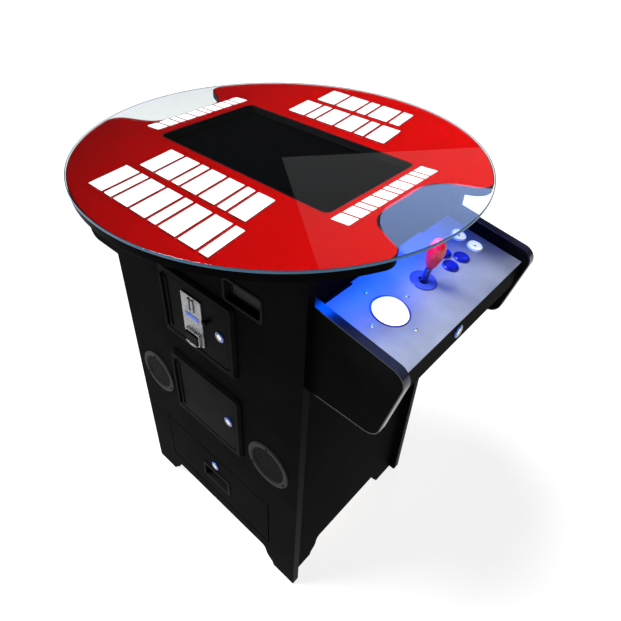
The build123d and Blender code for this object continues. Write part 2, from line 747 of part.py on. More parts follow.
# ---------------------------------------------------------------- flush pulls and access door
def flush_pull(x, z):
    """A moulded finger cup with a thin flange over the board."""
    with BuildPart() as pull:
        with BuildSketch(front_plane(x, z)):
            RectangleRounded(*PULL, 8)
        extrude(amount=2)
        fillet(pull.faces().sort_by(Axis.Y)[0].edges(), 1)
        with BuildSketch(front_plane(x, z)):
            Rectangle(PULL_POCKET[0] - 0.6, PULL_POCKET[1] - 0.6)
        extrude(amount=-WOOD + 2)
        with BuildSketch(front_plane(x, z, -FACE_Y - 2)):
            RectangleRounded(PULL_POCKET[0] - 6, PULL_POCKET[1] - 6, 5)
        extrude(amount=-WOOD + 2, mode=Mode.SUBTRACT)
    return pull.part


save(flush_pull(*UPPER_PULL), "upper_pull")
save(flush_pull(*ACCESS_PULL), "access_door_pull")

with BuildPart() as access_door:
    with BuildSketch(front_plane(0, ACCESS_Z)):
        Rectangle(*ACCESS_SIZE)
        with Locations((ACCESS_LOCK[0], ACCESS_LOCK[1] - ACCESS_Z)):
            Circle(LOCK_BODY, mode=Mode.SUBTRACT)
        with Locations((ACCESS_PULL[0], ACCESS_PULL[1] - ACCESS_Z)):
            Rectangle(*PULL_POCKET, mode=Mode.SUBTRACT)
    extrude(amount=-WOOD)
    fillet(access_door.edges().filter_by(Axis.X).group_by(Axis.Z)[0], 4)
    for pivot_side in (-1, 1):
        with BuildSketch(Plane.YZ.offset(pivot_side * ACCESS_SIZE[0] / 2)):
            with Locations((PIVOT_Y, PIVOT_Z)):
                Circle(PIVOT_RADIUS + RUNNING_FIT)
        extrude(amount=-pivot_side * PIVOT_LENGTH, mode=Mode.SUBTRACT)
save(access_door.part, "access_door")

# ---------------------------------------------------------------- speakers
grilles = []
drivers = []
for speaker_x in (-SPEAKER_X, SPEAKER_X):
    with BuildPart() as grille:
        with BuildSketch(front_plane(speaker_x, SPEAKER_Z)):
            Circle(SPEAKER_RADIUS)
        extrude(amount=4)
        fillet(grille.faces().sort_by(Axis.Y)[0].edges(), 1.5)
        with BuildSketch(front_plane(speaker_x, SPEAKER_Z, -FACE_Y - 4)):
            Circle(SPEAKER_HOLE)
        extrude(amount=-2.5, mode=Mode.SUBTRACT)
        with BuildSketch(front_plane(speaker_x, SPEAKER_Z)):
            for ring in range(1, 7):
                with PolarLocations(ring * 7.2, 6 * ring):
                    Circle(2.2)
        extrude(amount=4, mode=Mode.SUBTRACT)
    grilles.append(grille.part)
    with BuildPart() as driver:
        with BuildSketch(Plane(origin=(speaker_x, 0, SPEAKER_Z), x_dir=(1, 0, 0), z_dir=(0, 0, 1))):
            with BuildLine():
                Polyline(
                    (0, -FACE_Y + 8),
                    (20, -FACE_Y + 8),
                    (SPEAKER_HOLE - 2, -FACE_Y + 3),
                    (SPEAKER_HOLE - 2, -FACE_Y + 9),
                    (30, -FACE_Y + 42),
                    (30, -FACE_Y + 58),
                    (0, -FACE_Y + 58),
                    close=True,
                )
            make_face()
        revolve(axis=Axis((speaker_x, 0, SPEAKER_Z), (0, 1, 0)))
    drivers.append(driver.part)
save(group(grilles), "speaker_grilles")
save(group(drivers), "speaker_drivers")

# ---------------------------------------------------------------- electronics
BOARD_Z = FLOOR_Z + BOARD
with BuildPart() as power_supply:
    with BuildSketch(Plane(origin=(-150, 120, BOARD_Z))):
        Rectangle(160, 100)
    extrude(amount=50)
    fillet(power_supply.edges().filter_by(Axis.Z), 2)
save(power_supply.part, "power_supply")

with BuildPart() as game_board:
    with BuildSketch(Plane(origin=(120, 80, BOARD_Z))):
        with GridLocations(150, 110, 2, 2):
            Circle(4)
    extrude(amount=8)
    with BuildSketch(Plane(origin=(120, 80, BOARD_Z + 8))):
        Rectangle(170, 130)
    extrude(amount=1.6)
    with BuildSketch(Plane(origin=(120, 80, BOARD_Z + 9.6))):
        Rectangle(40, 40)
        with Locations((55, 0)):
            Rectangle(14, 90)
        with Locations((-60, 30)):
            Rectangle(30, 18)
    extrude(amount=14)
save(game_board.part, "game_board")

INLET_FLANGE = (50.0, 28.0)
INLET_SOCKET = (24.0, 16.0)
with BuildPart() as power_inlet:
    inlet_plane = Plane(origin=(INLET[0], FACE_Y, INLET[1]), x_dir=(-1, 0, 0), z_dir=(0, 1, 0))
    with BuildSketch(inlet_plane):
        RectangleRounded(*INLET_FLANGE, 5)
    extrude(amount=3)
    with BuildSketch(inlet_plane):
        Rectangle(INLET_BODY[0] - 0.4, INLET_BODY[1] - 0.4)
    extrude(amount=-WOOD - 6)
    with BuildSketch(inlet_plane.offset(3)):
        Rectangle(*INLET_SOCKET)
    extrude(amount=-18, mode=Mode.SUBTRACT)
    with BuildSketch(inlet_plane.offset(-15)):
        with Locations((0, 5), (-7, 1), (7, 1)):
            Rectangle(2, 4)
    extrude(amount=13)
save(power_inlet.part, "power_inlet")

LED_X = 285.0
leds = []
for side in SIDES.values():
    leds.append(slab(Plane(origin=(side * LED_X, 0, BOARD_BOTTOM)), 10, 360, -3))
save(group(leds), "led_strips")

# ---------------------------------------------------------------- control panels
STICK_HOLE = 12.0
HOUSING = (60.0, 32.0)
GIMBAL = (15.0, 9.5, 8.0)
SHAFT_RADIUS = 4.75
SLEEVE = (6.5, 4.0)             # shaft cover: its radius and where it starts over the panel
BAT_RADIUS = 15.0
CROSS_PIN = 2.0
SWITCH_TOP = -37.0
CATCH_U = 79.0
CATCH_DROP = 36.4               # the foot the cam holds down, under the panel's face
WASHER = (26.0, 10.0, 1.5)
COLLAR_HOLE = 35.0


def control_panel(side, buttons, trackball):
    """The sheet-metal panel with its hinge knuckles and the catch for its lock."""
    hinge = panel_hinge_plane(side)
    moving = knuckles(hinge, PANEL_HINGE_LENGTH, True)
    webs = []
    for index in (1, 3):
        pitch = PANEL_HINGE_LENGTH / 5
        v = -PANEL_HINGE_LENGTH / 2 + (index + 0.5) * pitch
        web = panel_plane(side, (HINGE_U + PANEL_REAR_U) / 2 + 1, v, 0)
        webs.append(slab(web, PANEL_REAR_U - HINGE_U + 2, pitch - HINGE_GAP, -1.5))
    catch_leg = slab(panel_plane(side, CATCH_U, PANEL_LOCK_V + 27, -SHEET), 10, 2, -CATCH_DROP)
    catch_foot = slab(panel_plane(side, CATCH_U, PANEL_LOCK_V + 20, -CATCH_DROP), 10, 14, -2)
    with BuildPart() as panel:
        with BuildSketch(panel_plane(side, (PANEL_REAR_U + PANEL_FRONT_U) / 2)):
            Rectangle(PANEL_FRONT_U - PANEL_REAR_U, 2 * PANEL_HALF_WIDTH)
        extrude(amount=-SHEET)
        with BuildSketch(panel_plane(side)):
            Circle(STICK_HOLE)
            with Locations(*buttons):
                Circle(BUTTON_HOLE)
            if trackball:
                with Locations(TRACKBALL):
                    Circle(COLLAR_HOLE)
                    with PolarLocations(BOLT_RADIUS, 4):
                        Circle(2.5)
        extrude(amount=-SHEET, mode=Mode.SUBTRACT)
        add(moving)
        add(webs)
        add([catch_leg, catch_foot])
    return panel.part


def joystick_base(side):
    """Mounting plate, hollow housing, four switches and the loose dust washer."""
    pivot = panel_plane(side, 0, 0, -PIVOT_DEPTH)
    pin_plane = Plane(origin=pivot.origin, x_dir=pivot.z_dir, z_dir=pivot.y_dir)
    with BuildPart() as housing:
        with BuildSketch(panel_plane(side, 0, 0, -SHEET)):
            Rectangle(60, 98)
        extrude(amount=-SHEET)
        with BuildSketch(panel_plane(side, 0, 0, -2 * SHEET)):
            RectangleRounded(HOUSING[0], HOUSING[0], 4)
        extrude(amount=-HOUSING[1])
        with BuildSketch(panel_plane(side)):
            Circle(STICK_HOLE)
        extrude(amount=-60, mode=Mode.SUBTRACT)
        with BuildSketch(panel_plane(side, 0, 0, -2 * SHEET)):
            Circle(20)
        extrude(amount=-HOUSING[1] + 3, mode=Mode.SUBTRACT)
        with BuildSketch(pin_plane.offset(-26)):
            Circle(CROSS_PIN + RUNNING_FIT / 2)
        extrude(amount=52, mode=Mode.SUBTRACT)
    switches = []
    for turn in range(4):
        angle = math.radians(90 * turn)
        u = 16 * math.cos(angle)
        v = 16 * math.sin(angle)
        size = (7, 20) if turn % 2 == 0 else (20, 7)
        switches.append(slab(panel_plane(side, u, v, -2 * SHEET - HOUSING[1]), *size, -10))
    washer = tube(panel_plane(side), WASHER[0], WASHER[1], WASHER[2])
    return group([housing.part, washer] + switches)


def joystick_gimbal(side):
    """The ring that tilts on pins in the housing and carries the lever."""
    pivot = panel_plane(side, 0, 0, -PIVOT_DEPTH)
    pin_plane = Plane(origin=pivot.origin, x_dir=pivot.z_dir, z_dir=pivot.y_dir)
    cross_plane = Plane(origin=pivot.origin, x_dir=pivot.y_dir, z_dir=pivot.x_dir)
    with BuildPart() as gimbal:
        with BuildSketch(pin_plane.offset(-25)):
            Circle(CROSS_PIN)
        extrude(amount=50)
        with BuildSketch(pivot.offset(-GIMBAL[2] / 2)):
            Circle(GIMBAL[0])
        extrude(amount=GIMBAL[2])
        with BuildSketch(pivot.offset(-GIMBAL[2] / 2)):
            Circle(GIMBAL[1])
        extrude(amount=GIMBAL[2], mode=Mode.SUBTRACT)
        with BuildSketch(cross_plane.offset(-GIMBAL[0] - 1)):
            Circle(CROSS_PIN + RUNNING_FIT / 2)
        extrude(amount=2 * GIMBAL[0] + 2, mode=Mode.SUBTRACT)
    return gimbal.part


def joystick_lever(side):
    """Steel shaft with its cross pin, the actuator below and the bat top above."""
    pivot = panel_plane(side, 0, 0, -PIVOT_DEPTH)
    cross_plane = Plane(origin=pivot.origin, x_dir=pivot.y_dir, z_dir=pivot.x_dir)
    base = panel_plane(side)
    profile = Plane(origin=base.origin, x_dir=base.x_dir, z_dir=-base.y_dir)
    bottom, top = BAT
    with BuildPart() as lever:
        with BuildSketch(profile):
            with BuildLine():
                Polyline(
                    (0, bottom),
                    (0, SWITCH_TOP - 12),
                    (6, SWITCH_TOP - 12),
                    (6, SWITCH_TOP),
                    (SHAFT_RADIUS, SWITCH_TOP + 2),
                    (SHAFT_RADIUS, SLEEVE[1]),
                    (SLEEVE[0], SLEEVE[1]),
                    (SLEEVE[0], bottom),
                    close=True,
                )
            make_face()
        revolve(axis=Axis(base.origin, base.z_dir))
        with BuildSketch(cross_plane.offset(-GIMBAL[0] + 0.5)):
            Circle(CROSS_PIN)
        extrude(amount=2 * GIMBAL[0] - 1)
        with BuildSketch(profile):
            with BuildLine():
                side_curve = Spline(
                    (SLEEVE[0] + 0.5, bottom),
                    (BAT_RADIUS, bottom + 0.55 * (top - bottom)),
                    (0, top),
                    tangents=((0.15, 1), (-1, 0)),
                )
                Line(side_curve @ 1, (0, bottom))
                Line((0, bottom), side_curve @ 0)
            make_face()
        revolve(axis=Axis(base.origin, base.z_dir))
    return lever.part


PLUNGER = (12.4, 4.5, 18.0)
BARREL_DEPTH = 28.0


def button_housing(side, u, v):
    """Rimmed barrel with a floor, its nut and the switch below."""
    with BuildPart() as barrel:
        with BuildSketch(panel_plane(side, u, v)):
            Circle(BUTTON_RIM)
        extrude(amount=3.5)
        fillet(barrel.edges().group_by(Axis(panel_plane(side).origin, panel_plane(side).z_dir))[-1], 1.5)
        with BuildSketch(panel_plane(side, u, v)):
            Circle(BUTTON_HOLE - RUNNING_FIT)
        extrude(amount=-BARREL_DEPTH)
        with BuildSketch(panel_plane(side, u, v, 3.5)):
            Circle(PLUNGER[0] + RUNNING_FIT)
        extrude(amount=-BARREL_DEPTH - 3.5 + 3, mode=Mode.SUBTRACT)
    nut = tube(panel_plane(side, u, v, -SHEET - 8), 17.5, BUTTON_HOLE, 8)
    switch = slab(panel_plane(side, u, v, -BARREL_DEPTH), 10, 26, -16)
    return [barrel.part, nut, switch]


def button_plunger(side, u, v):
    """A cap with a shallow dish on top."""
    with BuildPart() as plunger:
        with BuildSketch(panel_plane(side, u, v, PLUNGER[1])):
            Circle(PLUNGER[0])
        extrude(amount=-PLUNGER[1] - PLUNGER[2])
        fillet(plunger.edges().group_by(Axis(panel_plane(side).origin, panel_plane(side).z_dir))[-1], 1)
    dish = Solid.make_sphere(60).move(Location(panel_plane(side, u, v, PLUNGER[1] + 58.9).origin))
    with BuildPart() as cap:
        add(plunger.part)
        add(dish, mode=Mode.SUBTRACT)
    return cap.part


for name, side in SIDES.items():
    right = side == 1
    buttons = list(ACTION_BUTTONS)
    if right:
        buttons += START_BUTTONS
    save(control_panel(side, buttons, right), f"{name}_control_panel")
    save(joystick_base(side), f"{name}_joystick_base")
    save(joystick_gimbal(side), f"{name}_joystick_gimbal")
    save(joystick_lever(side), f"{name}_joystick_lever")
    housings = []
    for index, (u, v) in enumerate(buttons):
        housings += button_housing(side, u, v)
        kind = "action" if index < len(ACTION_BUTTONS) else "start"
        number = index + 1 if kind == "action" else index + 1 - len(ACTION_BUTTONS)
        save(button_plunger(side, u, v), f"{name}_{kind}_button_{number}")
    save(group(housings), f"{name}_button_housings")

# ---------------------------------------------------------------- trackball
BALL_HOUSING = (84.0, 57.0)
u, v = TRACKBALL
base = panel_plane(1, u, v)
diagonal = math.radians(45)
turned_x = base.x_dir * math.cos(diagonal) + base.y_dir * math.sin(diagonal)
turned = Plane(origin=panel_plane(1, u, v, -SHEET).origin, x_dir=turned_x, z_dir=base.z_dir)
with BuildPart() as ball_housing:
    with BuildSketch(turned):
        RectangleRounded(86, 86, 3)
    extrude(amount=-3)
    with BuildSketch(turned.offset(-3)):
        RectangleRounded(BALL_HOUSING[0], BALL_HOUSING[0], 20)
    extrude(amount=-BALL_HOUSING[1])
    with BuildSketch(turned):
        Circle(BALL_RADIUS + 0.6)
    extrude(amount=-BALL_HOUSING[1] + 1, mode=Mode.SUBTRACT)
    with BuildSketch(base):
        with PolarLocations(BOLT_RADIUS, 4):
            Circle(2.4)
    extrude(amount=-8, mode=Mode.SUBTRACT)
ball_ring = tube(base, 36.5, 33.6, 1.5)
bolts = []
for turn in range(4):
    angle = math.radians(90 * turn)
    bolt_u = u + BOLT_RADIUS * math.cos(angle)
    bolt_v = v + BOLT_RADIUS * math.sin(angle)
    with BuildPart() as bolt:
        with BuildSketch(panel_plane(1, bolt_u, bolt_v)):
            Circle(4.8)
        extrude(amount=2.2)
        fillet(bolt.edges().group_by(Axis(base.origin, base.z_dir))[-1], 1.8)
        with BuildSketch(panel_plane(1, bolt_u, bolt_v)):
            Circle(2.3)
        extrude(amount=-4.9)
    bolts.append(bolt.part)
save(group([ball_housing.part, ball_ring] + bolts), "trackball_housing")

with BuildPart() as trackball_ball:
    with Locations(panel_plane(1, u, v, -BALL_DEPTH).origin):
        Sphere(BALL_RADIUS)
save(trackball_ball.part, "trackball_ball")

# ---------------------------------------------------------------- panel locks
PANEL_CAM_REACH = 20.0
PANEL_LOCK_LENGTH = 23.0
panel_locks = []
for name, side in SIDES.items():
    place = (side * RAIL_FACE_X, side * PANEL_LOCK_V, PANEL_LOCK_Z)
    plane = Plane(origin=place, x_dir=(0, side, 0), z_dir=(side, 0, 0))
    panel_locks.append(lock_body(plane, PANEL_LOCK_LENGTH, BOX_BOARD))
    save(lock_cam(plane, PANEL_LOCK_LENGTH, PANEL_CAM_REACH), f"{name}_panel_cam")
save(group(panel_locks), "panel_locks")
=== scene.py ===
"""Looks of the round-top cocktail arcade cabinet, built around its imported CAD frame.

Units are metres in Blender; lengths written in this file are millimetres unless they say so.
"""
import json
import math

import bmesh
import bpy
from mathutils import Matrix, Vector


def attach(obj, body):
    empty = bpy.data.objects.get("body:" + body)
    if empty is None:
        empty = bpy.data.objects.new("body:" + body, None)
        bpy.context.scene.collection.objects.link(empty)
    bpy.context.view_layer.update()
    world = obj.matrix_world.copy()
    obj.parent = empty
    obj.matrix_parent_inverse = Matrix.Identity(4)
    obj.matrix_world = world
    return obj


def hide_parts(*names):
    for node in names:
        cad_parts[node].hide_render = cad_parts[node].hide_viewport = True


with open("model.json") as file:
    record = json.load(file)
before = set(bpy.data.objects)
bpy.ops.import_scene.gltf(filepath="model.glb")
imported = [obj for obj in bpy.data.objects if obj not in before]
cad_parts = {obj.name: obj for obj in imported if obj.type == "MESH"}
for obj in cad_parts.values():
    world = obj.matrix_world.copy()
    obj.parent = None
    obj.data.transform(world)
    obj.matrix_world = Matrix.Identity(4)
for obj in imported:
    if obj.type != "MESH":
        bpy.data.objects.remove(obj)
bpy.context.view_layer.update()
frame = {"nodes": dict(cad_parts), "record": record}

MM = 0.001
BODY_OF = {}
for body_name, members in frame["record"]["behaviour"]["bodies"].items():
    for member in members:
        BODY_OF[member] = body_name

# shared dimensions of the object
TABLE_HEIGHT = 1087.0
GLASS = 6.0
GLASS_RADIUS = 418.96
ART_TOP = 1080.95
FACE_Y = -251.0
DOOR_Y = -259.0
SLOPE = math.radians(10.25)
STICK_X = 362.0
STICK_Z = 942.0
ACTION_BUTTONS = ((12.0, 78.0), (13.0, 119.0), (-18.0, 100.0))
START_BUTTONS = ((13.0, 174.0), (-26.0, 175.0))
TRACKBALL = (5.0, -113.0)
BALL_RADIUS = 38.1
BALL_DEPTH = 19.0
BOLT_RADIUS = 53.5
SPEAKER = (205.0, 467.0)
COIN_PLATE = (-6.0, 783.0)
CUP_Z = 736.0


# ---------------------------------------------------------------- places
def face_place(x, z, y=FACE_Y):
    """Local x to +X, local y up, local z out of the coin face."""
    return Matrix(((1, 0, 0, x * MM), (0, 0, -1, y * MM), (0, 1, 0, z * MM), (0, 0, 0, 1)))


def panel_place(side, u=0.0, v=0.0, n=0.0):
    """Local x runs down a control panel to its player, local y across, local z out of it."""
    c = math.cos(SLOPE)
    s = math.sin(SLOPE)
    x = side * (STICK_X + u * c + n * s)
    z = STICK_Z - u * s + n * c
    rows = (
        (side * c, 0, side * s, x * MM),
        (0, side, 0, side * v * MM),
        (-s, 0, c, z * MM),
        (0, 0, 0, 1),
    )
    return Matrix(rows)


# ---------------------------------------------------------------- materials
def finish(name, colour, second, rough, spread=0.08, blotch=6.0, grain=900.0, depth=0.00005,
           strength=0.3, metallic=0.0, coat=0.0, stretch=(1, 1, 1), specular=0.5, ior=1.5):
    """A surface with slow colour drift, grainy roughness and a fine bump."""
    mat = bpy.data.materials.new(name)
    mat.use_nodes = True
    nodes = mat.node_tree.nodes
    links = mat.node_tree.links
    shader = nodes["Principled BSDF"]
    shader.inputs["Metallic"].default_value = metallic
    shader.inputs["Coat Weight"].default_value = coat
    shader.inputs["Specular IOR Level"].default_value = specular
    shader.inputs["IOR"].default_value = ior
    place = nodes.new("ShaderNodeTexCoord")
    mapping = nodes.new("ShaderNodeMapping")
    mapping.inputs["Scale"].default_value = stretch
    links.new(place.outputs["Object"], mapping.inputs["Vector"])

    drift = nodes.new("ShaderNodeTexNoise")
    drift.inputs["Scale"].default_value = blotch
    drift.inputs["Detail"].default_value = 5
    links.new(mapping.outputs["Vector"], drift.inputs["Vector"])
    colours = nodes.new("ShaderNodeValToRGB")
    colours.color_ramp.elements[0].position = 0.35
    colours.color_ramp.elements[0].color = (*colour, 1)
    colours.color_ramp.elements[1].position = 0.68
    colours.color_ramp.elements[1].color = (*second, 1)
    links.new(drift.outputs["Fac"], colours.inputs["Fac"])
    links.new(colours.outputs["Color"], shader.inputs["Base Color"])

    fine = nodes.new("ShaderNodeTexNoise")
    fine.inputs["Scale"].default_value = grain
    fine.inputs["Detail"].default_value = 3
    links.new(mapping.outputs["Vector"], fine.inputs["Vector"])
    sheen = nodes.new("ShaderNodeMapRange")
    sheen.inputs["To Min"].default_value = max(rough - spread, 0.02)
    sheen.inputs["To Max"].default_value = rough + spread
    links.new(fine.outputs["Fac"], sheen.inputs["Value"])
    links.new(sheen.outputs["Result"], shader.inputs["Roughness"])
    bump = nodes.new("ShaderNodeBump")
    bump.inputs["Strength"].default_value = strength
    bump.inputs["Distance"].default_value = depth
    links.new(fine.outputs["Fac"], bump.inputs["Height"])
    links.new(bump.outputs["Normal"], shader.inputs["Normal"])
    return mat


def fade(mat, start, end):
    """Run a surface's two colours along a line from start to end, in metres, instead of in blotches."""
    nodes = mat.node_tree.nodes
    links = mat.node_tree.links
    ramp = nodes["Color Ramp"]
    ramp.color_ramp.elements[0].position = 0.0
    ramp.color_ramp.elements[1].position = 1.0
    along = Vector(end) - Vector(start)
    place = nodes.new("ShaderNodeTexCoord")
    across = nodes.new("ShaderNodeVectorMath")
    across.operation = "DOT_PRODUCT"
    across.inputs[1].default_value = along / along.length_squared
    links.new(place.outputs["Object"], across.inputs[0])
    shift = nodes.new("ShaderNodeMath")
    shift.operation = "SUBTRACT"
    shift.inputs[1].default_value = Vector(start).dot(along) / along.length_squared
    links.new(across.outputs["Value"], shift.inputs[0])
    links.new(shift.outputs["Value"], ramp.inputs["Fac"])


def lit(mat, colour, strength):
    """Let a surface glow in one colour."""
    shader = mat.node_tree.nodes["Principled BSDF"]
    shader.inputs["Emission Color"].default_value = (*colour, 1)
    shader.inputs["Emission Strength"].default_value = strength
    return mat


def clear_glass(name, tint):
    """Glass that lets lamps through to what lies behind it."""
    mat = bpy.data.materials.new(name)
    mat.use_nodes = True
    nodes = mat.node_tree.nodes
    links = mat.node_tree.links
    shader = nodes["Principled BSDF"]
    shader.inputs["Base Color"].default_value = (*tint, 1)
    shader.inputs["Roughness"].default_value = 0.0
    shader.inputs["IOR"].default_value = 1.5
    shader.inputs["Transmission Weight"].default_value = 1.0
    passing = nodes.new("ShaderNodeBsdfTransparent")
    passing.inputs["Color"].default_value = (0.93, 0.96, 0.97, 1)
    rays = nodes.new("ShaderNodeLightPath")
    mix = nodes.new("ShaderNodeMixShader")
    links.new(rays.outputs["Is Shadow Ray"], mix.inputs["Fac"])
    links.new(shader.outputs["BSDF"], mix.inputs[1])
    links.new(passing.outputs["BSDF"], mix.inputs[2])
    links.new(mix.outputs["Shader"], nodes["Material Output"].inputs["Surface"])
    return mat


LAMINATE = finish("black_laminate", (0.0030, 0.0030, 0.0032), (0.0052, 0.0052, 0.0054), 0.5, 0.12,
                  blotch=9, grain=420, depth=0.00006, strength=0.4, ior=1.03)
TRIM = finish("black_trim", (0.0016, 0.0016, 0.0020), (0.0028, 0.0028, 0.0034), 0.2, 0.05, grain=160,
              depth=0.00006, strength=0.2, ior=1.04)
# the control boxes' T-moulding: the black trim painted lighter and bluish, a painted sheen of the blue panel
# light
TRIM_PAINTED_SHEEN = finish("trim_painted_sheen", (0.008, 0.010, 0.022), (0.012, 0.015, 0.030), 0.22, 0.02, grain=160,
                    depth=0.00001, strength=0.05, ior=1.42)
RAW = finish("raw_board", (0.30, 0.21, 0.13), (0.38, 0.28, 0.18), 0.7, 0.1, blotch=40, grain=700,
             depth=0.0003, strength=0.6, stretch=(1, 1, 3))
GLASS_MAT = clear_glass("clear_glass", (0.93, 0.985, 0.99))
ART_RED = finish("art_red", (0.125, 0.0008, 0.0008), (0.43, 0.0016, 0.0014), 0.5, 0.06, blotch=2.5,
                 grain=2500, depth=0.00002, strength=0.2, specular=0.0)
# the red runs dark towards -X -Y and bright towards +X +Y
fade(ART_RED, (-0.30, -0.27, 0), (0.30, 0.27, 0))
ART_WHITE = finish("art_white", (0.84, 0.83, 0.82), (0.90, 0.89, 0.88), 0.5, 0.06, blotch=20, grain=2500,
                   depth=0.00002, strength=0.2, specular=0.0)
ART_SHADE = finish("art_shade", (0.09, 0.0006, 0.0006), (0.12, 0.0008, 0.0008), 0.5, 0.06, blotch=20,
                   grain=2500, depth=0.00002, strength=0.2, specular=0.0)
MOULDED = finish("black_plastic", (0.006, 0.006, 0.0064), (0.010, 0.010, 0.0104), 0.42, 0.1, grain=1400,
                 depth=0.00003, strength=0.5, ior=1.06)
# light grey floor of the access door's pull: painted light falling into the moulded cup
PULL_FLOOR_PAINTED_LIGHT = finish("pull_floor_painted_light", (0.22, 0.22, 0.22), (0.30, 0.30, 0.30), 0.5, 0.1, grain=1400, depth=0.00003,
                   ior=1.2)
# dark grey: the real tone of the speaker rings and the speaker screws' crosses, and a painted light on the
# upper pull's floor
GREY_AND_LIT_FLOOR = finish("dark_grey_and_lit_pull_floor", (0.026, 0.026, 0.027), (0.038, 0.038, 0.039), 0.5, 0.1, grain=1400,
               depth=0.00003, ior=1.1)
SCREEN = finish("screen_face", (0.0006, 0.0006, 0.0008), (0.0009, 0.0009, 0.0012), 0.25, 0.03, grain=3000,
                depth=0.00001, strength=0.1, specular=0.02)
ZINC = finish("zinc_steel", (0.42, 0.43, 0.45), (0.52, 0.52, 0.52), 0.34, 0.1, blotch=60, grain=500,
              metallic=1.0, depth=0.00006)
COATED = finish("black_steel", (0.0035, 0.0035, 0.0038), (0.0058, 0.0058, 0.0061), 0.36, 0.1, blotch=15,
                grain=1100, depth=0.00003, strength=0.5, ior=1.045)
PANEL = finish("panel_steel", (0.20, 0.21, 0.24), (0.26, 0.27, 0.30), 0.46, 0.14, blotch=14, grain=750,
               depth=0.00006, strength=0.6, metallic=0.2)
CHROME = finish("chrome", (0.72, 0.73, 0.75), (0.80, 0.80, 0.81), 0.10, 0.04, blotch=90, grain=600,
                metallic=1.0, depth=0.00002, strength=0.2)
COIN_GREY = finish("coin_plate", (0.20, 0.205, 0.215), (0.36, 0.365, 0.375), 0.38, 0.14, blotch=140,
                   grain=900, depth=0.0003, strength=0.7, metallic=0.7)
BLUE = finish("blue_plastic", (0.003, 0.008, 0.20), (0.005, 0.014, 0.27), 0.16, 0.05, blotch=60, grain=800,
              depth=0.00003, coat=0.5)
BLUE_DEEP = finish("blue_deep", (0.002, 0.006, 0.18), (0.003, 0.010, 0.24), 0.2, 0.05, blotch=60, grain=800,
                   depth=0.00003, coat=0.5)
BLUE_STRIP = finish("blue_strip", (0.01, 0.10, 0.80), (0.015, 0.13, 0.90), 0.3, 0.06, blotch=60, grain=900,
                    depth=0.00003)
WHITE = finish("white_plastic", (0.84, 0.85, 0.88), (0.90, 0.90, 0.92), 0.14, 0.04, blotch=30, grain=700,
               depth=0.00002, coat=0.5)
WHITE_LIT = lit(finish("white_lit", (0.84, 0.85, 0.88), (0.90, 0.90, 0.92), 0.14, 0.04, blotch=30, grain=700,
                       depth=0.00002, coat=0.5), (0.95, 0.97, 1.0), 0.55)
BOLT_STEEL = finish("bolt_steel", (0.62, 0.63, 0.65), (0.74, 0.74, 0.76), 0.22, 0.06, blotch=90, grain=600,
                    metallic=0.85, depth=0.00002, strength=0.2)
LOCK_STEEL = finish("lock_steel", (0.11, 0.12, 0.14), (0.20, 0.21, 0.24), 0.3, 0.08, blotch=90, grain=600,
                    metallic=0.9, depth=0.00004, strength=0.3)
WASHER_BLUE = finish("washer_blue", (0.035, 0.06, 0.26), (0.05, 0.08, 0.33), 0.22, 0.06, blotch=60,
                     grain=900, depth=0.00003, coat=0.4)
# the ground edge's own blue-green tint, with a faint blue glow on it that is painted light
GLOWING_GLASS_EDGE = lit(finish("glass_edge_painted_glow", (0.014, 0.085, 0.14), (0.02, 0.115, 0.19), 0.34, 0.05, blotch=12,
                        grain=500, depth=0.00002), (0.01, 0.16, 0.40), 0.12)
# the trackball's white, made to glow evenly: painted light that flattens its shading
BALL_PAINTED_GLOW = lit(finish("ball_white_painted_glow", (0.84, 0.85, 0.88), (0.90, 0.90, 0.92), 0.12, 0.04, blotch=30,
                        grain=700, depth=0.00002, coat=0.5), (0.9, 0.93, 1.0), 0.95)
RED = finish("red_plastic", (0.56, 0.004, 0.03), (0.64, 0.006, 0.045), 0.24, 0.05, blotch=40, grain=800,
             depth=0.00003, coat=0.2)
DARK_STEEL = finish("dark_steel", (0.06, 0.065, 0.09), (0.09, 0.095, 0.12), 0.28, 0.08, blotch=80, grain=700,
                    metallic=1.0, depth=0.00004)
BOARD_GREEN = finish("circuit_board", (0.008, 0.10, 0.035), (0.012, 0.14, 0.05), 0.3, 0.1, blotch=120,
                     grain=500, depth=0.0001, coat=0.3)
CHIP = finish("chip_black", (0.014, 0.014, 0.015), (0.022, 0.022, 0.023), 0.5, 0.1, grain=1500)
LED = lit(finish("led_blue", (0.02, 0.10, 0.9), (0.03, 0.14, 1.0), 0.3, 0.05, blotch=70, grain=900),
          (0.02, 0.12, 1.0), 2.5)


# ---------------------------------------------------------------- mesh helpers
def place_piece(name, bm, material, body, matrix=None, crease=34.0):
    """Turn a bmesh into a piece that rides on a body."""
    if matrix is not None:
        bm.transform(matrix)
    bmesh.ops.remove_doubles(bm, verts=bm.verts, dist=1e-7)
    bmesh.ops.recalc_face_normals(bm, faces=bm.faces)
    mesh = bpy.data.meshes.new(name)
    bm.to_mesh(mesh)
    bm.free()
    for polygon in mesh.polygons:
        polygon.use_smooth = True
    mesh.set_sharp_from_angle(angle=math.radians(crease))
    obj = bpy.data.objects.new(name, mesh)
    bpy.context.scene.collection.objects.link(obj)
    obj.data.materials.append(material)
    even = obj.modifiers.new("flat_faces", "WEIGHTED_NORMAL")
    even.mode = "FACE_AREA"
    even.weight = 100
    even.keep_sharp = True
    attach(obj, body)
    return obj


def round_edges(bm, width, angle=32.0, segments=2):
    """Bevel the edges that turn by more than an angle."""
    sharp = []
    for edge in bm.edges:
        if len(edge.link_faces) == 2 and edge.calc_face_angle() > math.radians(angle):
            sharp.append(edge)
    bmesh.ops.bevel(
        bm, geom=sharp, offset=width * MM, offset_type="OFFSET", segments=segments, profile=0.5,
        affect="EDGES", clamp_overlap=True,
    )


